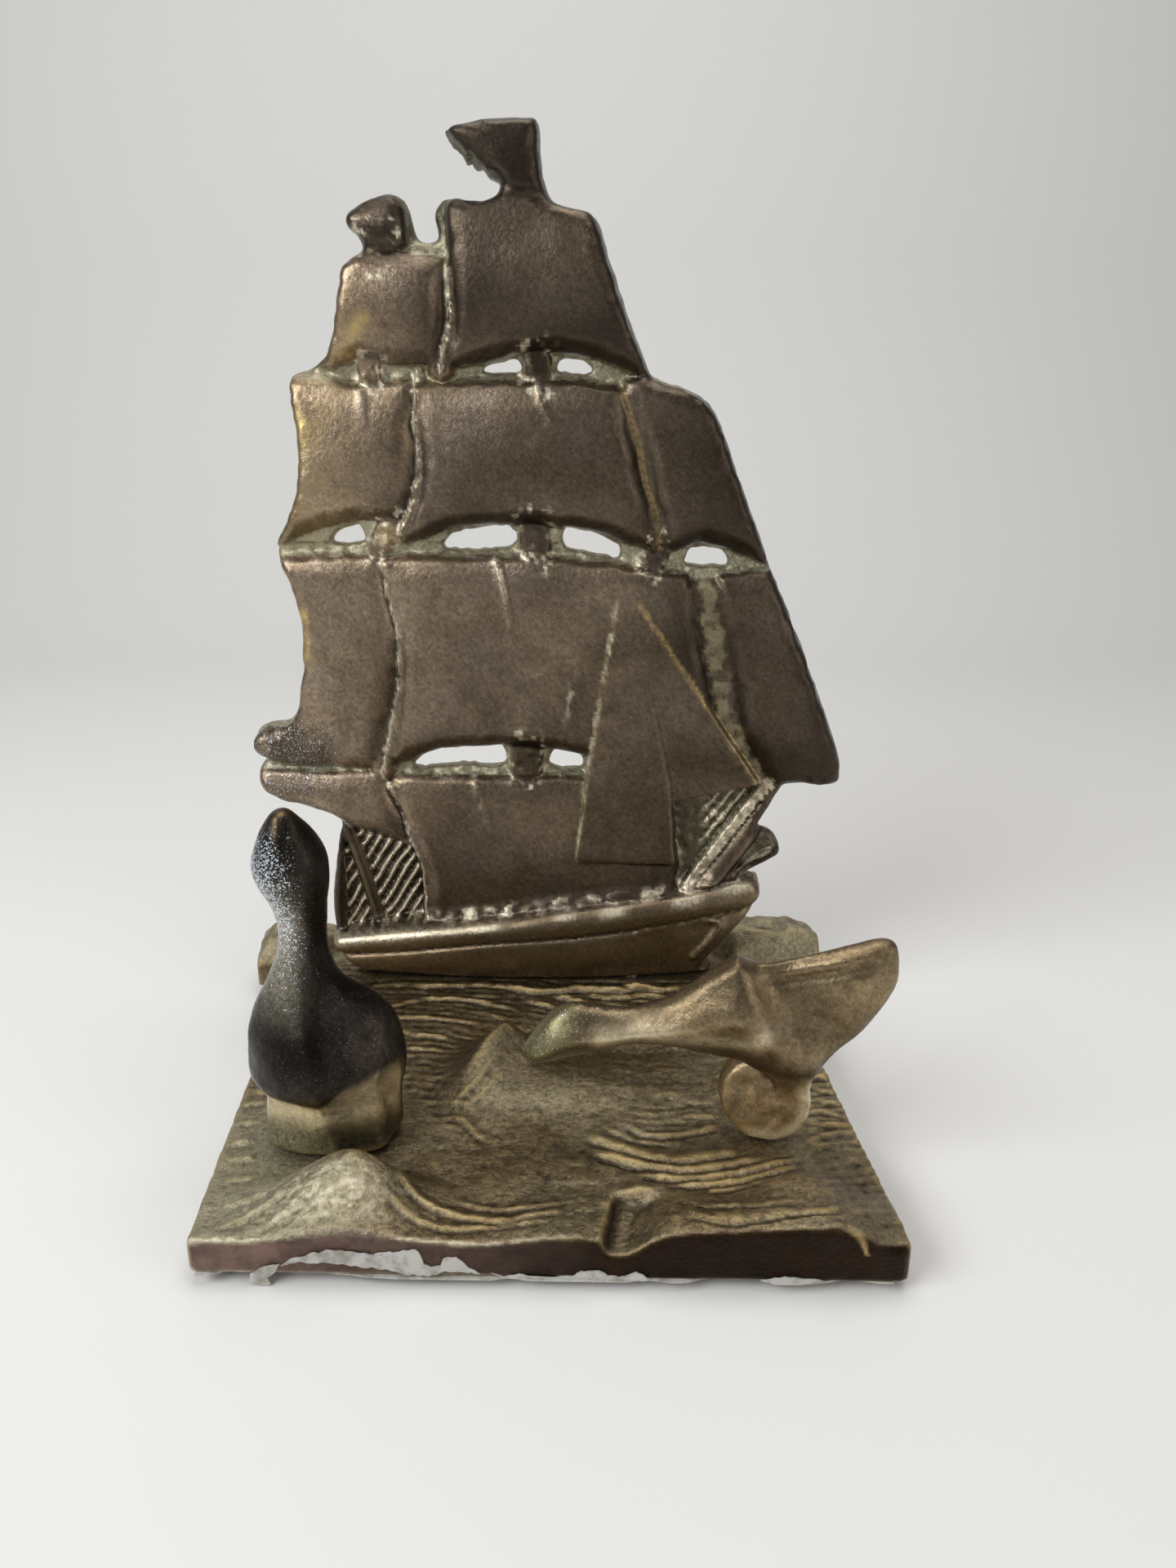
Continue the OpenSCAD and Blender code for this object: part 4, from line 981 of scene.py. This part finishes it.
# Along x: half of the body's depth, and the half height at which it is reached
RIGHT_DEPTH = [
    (-41, 1.4, 2.5), (-37, 3.4, 4), (-33, 4.2, 5.2), (-28, 3.8, 4.6), (-22, 3.3, 3.6), (-16, 3.8, 5),
    (-10, 4.6, 7), (-5, 5, 8), (0, 4.4, 8), (6, 3.5, 6.5), (12, 3, 5.5), (22, 2.6, 5)]
CREST_LINE = [(-5.8, 34.4), (-3.4, 27.5), (-0.6, 20.6), (2.4, 15.4), (4.6, 9)]
# Line along the belly where a highlight is painted
BELLY_HIGHLIGHT_LINE = [(-27, 20.4), (-21, 21), (-14, 20.7), (-7, 20.2), (-2, 20.6)]
# Disc that it stands on
DISC_R = 7.3
DISC_Z = 7.2
# Middle of the body's depth
RIGHT_Y = -2.0
# Upper and lower edge where there is no body, and the weights that even both edges out
NO_HEAD = -9
NO_FOOT = 39
EVEN = np.ones(9) / 9


def right_gull():
    low = np.array([-43.0, -9.0, -1.0])
    high = np.array([22.0, 6.5, 39.0])
    xs, ys, zs = grid(low, high, GULL_STEP)
    x, z = np.meshgrid(xs, zs, indexing="ij")
    edge = to_outline(x, z, along(RIGHT_EDGE, 4, closed=True))
    depth_at, reach = [v[:, None] for v in section(RIGHT_DEPTH, xs)]
    swell = depth_at * quarter(-edge, reach)

    # Flat upper side over a full belly, crest, dished wing with a rim along its top
    head = np.convolve(np.where(edge < 0, z, NO_HEAD).max(1), EVEN, "same")[:, None]
    foot = np.convolve(np.where(edge < 0, z, NO_FOOT).min(1), EVEN, "same")[:, None]
    up = np.clip((z - foot) / np.maximum(head - foot, 1), 0, 1)
    full = np.sin(np.pi / 2 * np.clip(up / 0.55, 0, 1))
    flat = depth_at * full * (1 - 0.6 * ramp(0.5, 1.05, up)) * quarter(-edge, 1.4)
    flat_part = ramp(-1, -6, x) * ramp(-38, -31, x)
    dx = x - x_of(along(CREST_LINE), zs)[None, :]
    fold = np.exp(-(dx / np.where(dx < 0, 4.5, 1.9)) ** 2) * ramp(17, 23, z)
    dish = 2.2 * ramp(-1.2, 5.0, dx) * ramp(17, 5, dx) * ramp(15, 24, z)
    brim = ramp(0, 4, dx) * ramp(18, 14, x) * (ridge(edge + 1.2, 1.0) - 0.8 * ridge(edge + 3.2, 0.9))
    brim *= ramp(24, 30, z)
    front = swell + flat_part * (flat - swell) + 0.8 * fold - dish + 0.55 * brim
    front = front * ramp(7, 15, z) + 0.6 * ramp(15, 7, z)
    front = np.where(edge < 0, np.maximum(front, 0.35), -1)
    y = ys[None, :, None]
    body = np.maximum((RIGHT_Y - front)[:, None, :] - y, y - RIGHT_Y - 0.85 * swell[:, None, :])
    body = smooth_max(body * 0.8, edge[:, None, :] + 0 * y, 0.9)
    x3, y3, z3 = np.meshgrid(xs, ys, zs, indexing="ij")
    lean = 0.16 * (z3 - DISC_Z) - 0.2 * x3
    radius = np.hypot(x3, z3 - DISC_Z)
    pitted = 0.22 * noise(43, 1.6, x3, y3, z3)
    disc = np.abs(y3 - lean + 0.2) - 2.2 + 0.25 * ridge(radius, 5.0) + pitted
    disc = smooth_max(radius - DISC_R, disc, 1.3)
    field = smooth_min(body, disc, 1.2)
    field += 0.08 * noise(41, 3.2, x3, y3, z3) + 0.04 * noise(42, 1.2, x3, y3, z3)
    field = smooth_max(field, -z3, 0.4)
    field = bored(field, x3, y3, z3)
    seat = np.array([right_axis[0], right_axis[1], seat_z])
    piece, points, normals, proud = cast("right_gull_casting", field, low + seat, GULL_STEP)

    # What the material reads
    paint_edges(piece, proud, wear=0.35)
    local = points - seat
    px, pz, near = local[:, 0], local[:, 2], normals[:, 1] < 0
    at = cell_of(local[:, [0, 2]], low[[0, 2]], GULL_STEP, edge.shape)
    from_disc = np.hypot(px, pz - DISC_Z)
    disc_part = ramp(15, 12, pz) * ramp(9.5, 7.5, from_disc)
    low_right = ramp(-0.2, 0.5, (0.75 * px - 0.65 * (pz - DISC_Z)) / np.maximum(from_disc, 0.1))
    rim = ramp(4.4, 6.4, from_disc) * disc_part * (0.15 + 0.85 * low_right)
    stem = ramp(1.0, 3.5, px) * ramp(9.0, 11.5, pz) * ramp(16, 13, pz)
    # Painted highlight along the belly, and a painted glint at the crest's foot
    belly = ridge(to_curve(px, pz, BELLY_HIGHLIGHT_LINE), 1.7) * ramp(-34, -26, px) * ramp(1, -3, px) * near
    # Painted shade on the undersides, the lowest part and the top of the body and in the dished wing; the
    # stem darker and the disc lighter
    lower = 0.9 * ramp(0.24, 0.08, up[at]) * flat_part[at] * near
    under = np.maximum(ramp(0.1, 0.6, -normals[:, 2]), lower)
    shade = 1.1 * under * (1 - disc_part) + 0.2 * dish[at] * near + 0.7 * stem
    shade += 0.6 * ramp(0.55, 0.85, up[at]) * flat_part[at] - 0.5 * disc_part
    crest_glint = ridge(np.hypot(px + 1.6, pz - 22.0), 1.5) * near
    # The crest's lower part gets gold as a painted highlight
    paint(piece, shade=shade, green=ramp(-28, -37, px), dust=0.05 + 0.1 * ramp(-20, -32, px),
          gold=rim + 0.25 * fold[at] * near * ramp(26, 18, pz) + 0.9 * belly,
          cream=0.6 * belly + 0.6 * rim * low_right + 0.5 * crest_glint)
    return piece


# Film and pad

FILM_THICK = 0.06
FILM_ROUND = 0.02
FILM_IN = 1.0
# The scraps reach a little into the front face
FILM_LAP = 0.1
PAD_ROUND = 0.4
PAD_IN = 3.0
TEAR_STEP = 0.35
# Points along the sheet's torn edge, first seed of the scraps and seeds set aside for each
SHEET_POINTS = 90
SCRAP_SEED = 51
SEEDS_EACH = 10
# Scraps of film on the front face: outlines in x and height above the table
FILM_SCRAPS = {
    "film_patch": [(-38.7, 3.7), (-37.1, 5), (-34.9, 5.7), (-31.1, 6.6), (-27.8, 6.5), (-25.3, 5.9),
        (-22.3, 6.4), (-18.3, 6.9), (-17.8, 5.6), (-17.4, 4.4), (-16.2, 3.8), (-15.1, 4.2), (-14.7, 5.4),
        (-12.5, 5.7), (-11.7, 5), (-11, 3.9), (-9.1, 2.8), (-14.4, 3.2), (-16.6, 2.4), (-20.3, 2.3),
        (-22.5, 3.2), (-27.6, 4), (-32.8, 4.4), (-36.8, 4.4)],
    "film_shred": [(-7.4, 2.9), (-5.6, 2.3), (-2.6, 2.8), (-1.8, 2.1), (-4.5, 1.95), (-6, 2.1)],
    "film_edge": [(-2.9, 2.6), (-1.6, 2.1), (1.6, 2.1), (4.6, 2.7), (5.7, 3.5), (8.3, 3.6), (9.8, 2.8),
        (12.1, 2.5), (13.6, 3.5), (14.7, 2.9), (15.9, 2.1), (13.6, 1.8), (0.8, 1.75)],
    "film_corner": [(32, 2.1), (34.9, 2.7), (36.8, 3), (39.4, 2.6), (42.2, 2.2), (39.1, 1.8), (33.9, 1.75)],
    "film_tag": [(-40.8, 3.4), (-38.6, 3.8), (-39.4, 2.6), (-40.6, 1.5), (-40.3, 0.4), (-41, 0.1),
        (-42.5, 0.5), (-43.4, 0.6), (-43.3, 1.9), (-42.5, 2.8)]}


def prism(name, first, second):
    """Closed flat-sided piece between two rings of points."""
    n = len(first)
    faces = [tuple(range(n))[::-1], tuple(range(n, 2 * n))]
    faces += [(k, (k + 1) % n, n + (k + 1) % n, n + k) for k in range(n)]
    return make_mesh(name, np.vstack([first, second]), faces, smooth=False)


def torn_scrap(name, outline, seed):
    """Thin upright scrap of film with a torn outline."""
    lines = []
    for (ax, az), (bx, bz) in zip(outline, outline[1:] + outline[:1]):
        steps = max(2, int(math.hypot(bx - ax, bz - az) / TEAR_STEP))
        for k in range(steps):
            lines.append((ax + (bx - ax) * k / steps, az + (bz - az) * k / steps))
    x, z = np.array(lines).T
    z = z + 0.22 * noise(seed, 0.7, x, z) * ramp(0.2, 1.0, z)
    x = x + 0.25 * noise(seed + 1, 0.9, x, z)
    crumple = 0.10 + 0.12 * noise(seed + 2, 2.2, x, z)
    near = np.column_stack([x, front_y - FILM_THICK - np.abs(crumple), z])
    far = np.column_stack([x, np.full(len(x), front_y + FILM_LAP), z])
    return prism(name, far, near)


def bevelled_plate(name, outline, z0, z1, bevel):
    """Flat plate with rounded edges."""
    piece = prism(name, *([(x, y, z) for x, y in outline] for z in (z0, z1)))
    soft = piece.modifiers.new("edge", "BEVEL")
    soft.width = bevel * MM
    soft.segments = 3
    return piece


def inset(d, front_d):
    """Corners of the base's outline, drawn in by d, and by front_d at the front."""
    y0, y1 = front_y + front_d, back_y - d
    return [(-HALF_W + d + side_shift(y0), y0), (HALF_W - d + side_shift(y0), y0),
            (HALF_W - d + side_shift(y1), y1), (-HALF_W + d + side_shift(y1), y1)]


# Materials

# Depth of the bumps in metres
BUMP_DEEP = 0.0003


class Look:
    """A new material, with short ways to add nodes to it."""

    def __init__(self, name):
        self.material = bpy.data.materials.new(name)
        self.material.use_nodes = True
        self.tree = self.material.node_tree

    def fill(self, node, values):
        """Inputs of a node by name or number: a socket is linked, and anything else is set."""
        for key, value in values.items():
            socket = node.inputs[key]
            if isinstance(value, bpy.types.NodeSocket):
                self.tree.links.new(value, socket)
            else:
                socket.default_value = (*value, 1) if socket.type == "RGBA" else value

    def add(self, kind, values, **settings):
        """New node with its settings and inputs."""
        made = self.tree.nodes.new(kind)
        for name, value in settings.items():
            setattr(made, name, value)
        self.fill(made, values)
        return made

    def read(self, layer):
        return self.add("ShaderNodeAttribute", {}, attribute_name=layer).outputs["Fac"]

    def grain(self, per_mm, detail, rough=0.55, stretch=(1, 1, 1), tilt=0.0):
        """Noise in millimetres of the object's own space, tilted about its depth axis."""
        place = self.add("ShaderNodeTexCoord", {}).outputs["Object"]
        if tilt:
            turn = (0, math.radians(tilt), 0)
            place = self.add("ShaderNodeMapping", {"Vector": place, "Rotation": turn}).outputs[0]
        scale = tuple(s / MM for s in stretch)
        place = self.add("ShaderNodeMapping", {"Vector": place, "Scale": scale}).outputs[0]
        values = {"Vector": place, "Scale": per_mm, "Detail": detail, "Roughness": rough}
        return self.add("ShaderNodeTexNoise", values).outputs["Fac"]

    def maths(self, kind, *values, clamp=False):
        made = self.add("ShaderNodeMath", dict(enumerate(values)), operation=kind, use_clamp=clamp)
        return made.outputs[0]

    def times(self, a, b):
        return self.maths("MULTIPLY", a, b)

    def remap(self, value, a, b, low=0.0, high=1.0):
        """Smooth step from low at a to high at b."""
        values = {"Value": value, "From Min": a, "From Max": b, "To Min": low, "To Max": high}
        made = self.add("ShaderNodeMapRange", values, interpolation_type="SMOOTHSTEP")
        return made.outputs["Result"]

    def mix(self, share, a, b, kind="MIX"):
        """Blend of two colours."""
        made = self.add("ShaderNodeMix", {0: share, 6: a, 7: b}, data_type="RGBA", blend_type=kind)
        return made.outputs[2]

    def tint(self, colour, value):
        """Colour times a number."""
        return self.mix(1.0, colour, value, "MULTIPLY")

    def mix_values(self, share, a, b):
        return self.add("ShaderNodeMix", {0: share, 2: a, 3: b}, data_type="FLOAT").outputs[0]

    def bumps(self, height, strength):
        values = {"Strength": strength, "Distance": BUMP_DEEP, "Height": height}
        return self.add("ShaderNodeBump", values).outputs[0]

    def done(self, values):
        """The material, with the inputs of its shader filled."""
        self.fill(self.tree.nodes["Principled BSDF"], values)
        return self.material


def dimmed(colour, share):
    return tuple(share * c for c in colour)


GOLD = (0.55, 0.40, 0.17)
PALE = (0.49, 0.455, 0.305)
CREAM = (0.86, 0.76, 0.56)
GREEN = (0.24, 0.245, 0.115)
# Bluish white of the dust flakes and of the painted glints of sky light
DUST_AND_GLINT = (0.75, 0.82, 0.90)
# Front face of the base at its left and right end; the right is darker, partly its own tone and partly
# painted shade
FACE_LEFT, FACE_RIGHT = (0.17, 0.11, 0.088), (0.016, 0.007, 0.002)
METAL = 0.88


def patina(name, tones, layers, wear_share, rough, blotch=0.6, contrast=1.0, grain_bump=0.4):
    """Aged cast brass: mottled brown, dark hollows, worn edges, and a piece's painted layers."""
    look = Look(name)
    brown, other, dark = tones
    broad = look.grain(0.07, 3.0, 0.6)
    mottle = look.grain(0.2, 7.0, 0.66)
    fine = look.grain(1.2, 5.0, 0.7)
    speck = look.grain(3.2, 2.0, 0.6)
    brush = look.grain(0.9, 4.0, 0.65, (5, 5, 0.6), 35)

    def share_of(layer, low, high, mask=mottle):
        return look.times(look.read(layer), look.remap(mask, 0.3, 0.62, low, high))

    colour = look.mix(look.remap(broad, 0.35, 0.68), brown, other)
    colour = look.mix(look.remap(mottle, 0.34, 0.74, 0.0, blotch), colour, dark)
    colour = look.tint(colour, look.remap(broad, 0.3, 0.7, 0.72, 1.3))
    colour = look.tint(colour, look.remap(fine, 0.3, 0.7, 1 - 0.26 * contrast, 1 + 0.28 * contrast))
    colour = look.tint(colour, look.remap(brush, 0.3, 0.7, 0.82, 1.18))
    specks = look.remap(speck, 0.6, 0.72, 0.0, 0.4 * contrast)
    colour = look.mix(specks, colour, dimmed(brown, 1.9))
    # Painted shade darkens towards the dark tone; below 0, painted light brightens the colour
    if "shade" in layers:
        shade = look.read("shade")
        colour = look.mix(look.times(shade, 0.75), colour, dark)
        colour = look.tint(colour, look.remap(shade, SHADE_RANGE[0], 0.0, 1.75, 1.0))
    hollow = look.remap(look.read("hollow"), 0.1, 0.9, 0.0, 0.75)
    colour = look.mix(hollow, colour, dimmed(dark, 0.45))
    roughness = look.remap(mottle, 0.3, 0.75, rough - 0.08, rough + 0.12)
    metallic = METAL
    # Gold on the ripples' tops: painted highlight
    if "crest" in layers:
        colour = look.mix(share_of("crest", 0.15, 0.7), colour, dimmed(GOLD, 0.8))
    if "front" in layers:
        face = look.mix(look.read("dim"), FACE_LEFT, FACE_RIGHT)
        face = look.tint(face, look.remap(mottle, 0.3, 0.7, 0.65, 1.5))
        colour = look.mix(look.read("front"), colour, face)
        roughness = look.mix_values(look.read("front"), roughness, 0.3)
    colour = look.mix(share_of("gold", 0.25, 0.95), colour, GOLD)
    wear = look.remap(look.read("wear"), 0.15, 0.9)
    wear = look.times(wear, look.remap(mottle, 0.3, 0.6, 0.35, 1.0))
    wear = look.times(wear, wear_share)
    colour = look.mix(wear, colour, GOLD)
    roughness = look.mix_values(wear, roughness, 0.3)
    if "green" in layers:
        colour = look.mix(share_of("green", 0.2, 0.7), colour, GREEN)
    if "pale" in layers:
        share = share_of("pale", 0.4, 1.0, fine)
        chalk = look.mix(look.remap(speck, 0.38, 0.62), PALE, dimmed(PALE, 0.6))
        colour = look.mix(share, colour, chalk)
        roughness = look.mix_values(share, roughness, 0.5)
        metallic = look.mix_values(share, metallic, 0.65)
    share = share_of("cream", 0.45, 1.0, fine)
    colour = look.mix(share, colour, CREAM)
    metallic = look.mix_values(share, metallic, 0.4)
    # Dust flakes, which on the left gull stand also for painted glints of light from the left
    dust = look.read("dust")
    flakes = look.maths("ADD", look.times(dust, 0.2), look.grain(3.6, 1.0), clamp=True)
    flakes = look.remap(flakes, 0.70, 0.74)
    share = look.times(flakes, look.remap(dust, 0.0, 0.15, 0.0, 0.85))
    colour = look.mix(share, colour, DUST_AND_GLINT)
    height = look.maths("MULTIPLY_ADD", mottle, 0.6, fine)
    return look.done({"Base Color": colour, "Roughness": roughness, "Metallic": metallic,
                      "Normal": look.bumps(height, grain_bump)})


ZINC, ZINC_DULL = (0.56, 0.56, 0.54), (0.42, 0.42, 0.41)
FELT, FELT_PALE = (0.035, 0.03, 0.026), (0.075, 0.065, 0.055)
FILM, FILM_STAIN = (0.52, 0.50, 0.46), (0.27, 0.25, 0.21)


def plated_steel():
    look = Look("plated_steel")
    streak = look.grain(0.8, 3.0, 0.6, (1, 1, 6))
    return look.done({"Base Color": look.mix(look.remap(streak, 0.3, 0.7), ZINC, ZINC_DULL),
                      "Roughness": look.remap(streak, 0.3, 0.7, 0.3, 0.45), "Metallic": 1.0})


def felt():
    look = Look("dark_felt")
    fuzz = look.grain(2.4, 4.0, 0.7)
    return look.done({"Base Color": look.mix(look.remap(fuzz, 0.3, 0.7), FELT, FELT_PALE),
                      "Roughness": 0.95, "Sheen Weight": 0.3, "Normal": look.bumps(fuzz, 0.6)})


def white_film():
    look = Look("white_film")
    stain = look.grain(0.35, 4.0, 0.65)
    crease = look.grain(1.1, 3.0, 0.6, (0.4, 1, 1.6))
    return look.done({"Base Color": look.mix(look.remap(stain, 0.4, 0.7), FILM, FILM_STAIN),
                      "Roughness": look.remap(crease, 0.3, 0.7, 0.35, 0.6),
                      "Normal": look.bumps(crease, 0.5)})


# The pieces in their materials

def coat(piece, material):
    piece.data.materials.clear()
    piece.data.materials.append(material)


def dress(piece, material, body, slot, *nodes):
    coat(piece, material)
    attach(piece, body)
    if nodes:
        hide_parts(*nodes)


def dress_casting(piece, name, tones, body, slot, node, **finish):
    """Patina with the layers that the piece was painted with."""
    dress(piece, patina(name, tones, piece.data.attributes.keys(), **finish), body, slot, node)


# Main, second and dark colour of each casting
SHIP_TONES = ((0.195, 0.143, 0.095), (0.155, 0.119, 0.087), (0.032, 0.024, 0.017))
SEA_TONES = ((0.25, 0.185, 0.10), (0.20, 0.165, 0.10), (0.07, 0.05, 0.03))
LEFT_TONES = ((0.018, 0.0145, 0.0115), (0.032, 0.025, 0.019), (0.006, 0.0045, 0.004))
RIGHT_TONES = ((0.29, 0.215, 0.125), (0.225, 0.165, 0.09), (0.07, 0.048, 0.025))

dress_casting(ship(), "ship_patina", SHIP_TONES, "ornament", "ship_brass", "ship",
              wear_share=0.1, rough=0.31, blotch=0.42)
dress_casting(sea_base(), "sea_patina", SEA_TONES, "ornament", "base_brass", "sea_base",
              wear_share=0.4, rough=0.31, contrast=1.9, grain_bump=0.9)
dress_casting(left_gull(), "left_gull_patina", LEFT_TONES, "left_bird", "left_gull_brass", "left_gull",
              wear_share=0.25, rough=0.27)
dress_casting(right_gull(), "right_gull_patina", RIGHT_TONES, "right_bird", "right_gull_brass", "right_gull",
              wear_share=0.4, rough=0.32)

film_material = white_film()
edge_x = np.linspace(-HALF_W + FILM_IN, HALF_W - FILM_IN, SHEET_POINTS)
edge_in = front_y + 0.9 + 1.5 * noise(71, 5.0, edge_x) - 0.6 * ramp(-24, -16, edge_x)
edge_in = np.maximum(edge_in, film_low[1])
film_edge = list(zip(edge_x, edge_in)) + inset(FILM_IN, 0.0)[2:]
film_sheet = bevelled_plate("film_sheet", film_edge, pad_high[2], base_z, FILM_ROUND)
dress(film_sheet, film_material, "ornament", "film", "lining_film")
for number, (name, outline) in enumerate(FILM_SCRAPS.items()):
    scrap = torn_scrap(name, outline, SCRAP_SEED + SEEDS_EACH * number)
    dress(scrap, film_material, "ornament", "film")
pad = bevelled_plate("felt_pad_soft", inset(PAD_IN, PAD_IN), pad_low[2], pad_high[2], PAD_ROUND)
dress(pad, felt(), "ornament", "felt", "felt_pad")

steel = plated_steel()
for name, node in frame["nodes"].items():
    if name.endswith(("_stud", "_nut", "_screw", "_washer")):
        coat(node, steel)


# Floor, lights and camera

FLOOR = (0.74, 0.73, 0.71)
FLOOR_FRONT = -1200
FLOOR_SIDE = 1500
WALL_START = 320
WALL_R = 180
WALL_TOP = 1200
SKY = (0.95, 0.97, 1.0, 1)
SKY_STRENGTH = 0.2


def backdrop():
    """Floor that curves up into a wall behind the object."""
    profile = [(FLOOR_FRONT, 0), (WALL_START, 0)]
    for a in np.linspace(0.15, math.pi / 2, 12):
        profile.append((WALL_START + WALL_R * math.sin(a), WALL_R - WALL_R * math.cos(a)))
    profile.append((WALL_START + WALL_R, WALL_TOP))
    points = [(x, y, z) for y, z in profile for x in (-FLOOR_SIDE, FLOOR_SIDE)]
    faces = [(2 * k, 2 * k + 1, 2 * k + 3, 2 * k + 2) for k in range(len(profile) - 1)]
    sweep = make_mesh("backdrop", points, faces)
    coat(sweep, Look("pale_floor").done({"Base Color": FLOOR, "Roughness": 0.7}))


def area_light(name, place, target, size, watts, tint):
    lamp = bpy.data.lights.new(name, "AREA")
    lamp.shape = "RECTANGLE"
    lamp.size, lamp.size_y = (s * MM for s in size)
    lamp.energy = watts
    lamp.color = tint
    holder = put(name, lamp)
    holder.location = Vector(place) * MM
    holder.rotation_euler = (Vector(target) - Vector(place)).to_track_quat("-Z", "Y").to_euler()


backdrop()
# Lamps: name, place, point lit, size, watts, colour
area_light("sky_left", (-420, -330, 430), (0, 0, 60), (420, 320), 3.2, (0.95, 0.98, 1.0))
area_light("sky_top", (40, 60, 620), (0, 0, 40), (480, 360), 1.9, (1.0, 0.99, 0.97))
area_light("fill_right", (420, -260, 220), (0, 0, 60), (260, 300), 0.5, (1.0, 0.97, 0.93))

world = bpy.data.worlds.new("studio")
world.use_nodes = True
background = world.node_tree.nodes["Background"]
background.inputs["Color"].default_value = SKY
background.inputs["Strength"].default_value = SKY_STRENGTH
bpy.context.scene.world = world
bpy.context.scene.view_settings.view_transform = "Standard"

# Photograph's viewpoint: place in millimetres, turn to the left and tilt down in degrees
CAMERA_AT = (9.45, -185.42, 129.58)
CAMERA_TURN = 1.14
CAMERA_TILT = 19.96
FOCAL_PX = 1442
PHOTO_H = 1920
SENSOR_MM = 36
# In metres
CLIP_START = 0.01

lens = bpy.data.cameras.new("camera")
lens.sensor_width = SENSOR_MM
lens.lens = FOCAL_PX * lens.sensor_width / PHOTO_H
lens.clip_start = CLIP_START
camera = put("camera", lens)
camera.location = Vector(CAMERA_AT) * MM
turn = Matrix.Rotation(math.radians(CAMERA_TURN), 4, "Z")
tilt = Matrix.Rotation(math.radians(90 - CAMERA_TILT), 4, "X")
camera.rotation_euler = (turn @ tilt).to_euler()
bpy.context.scene.camera = camera
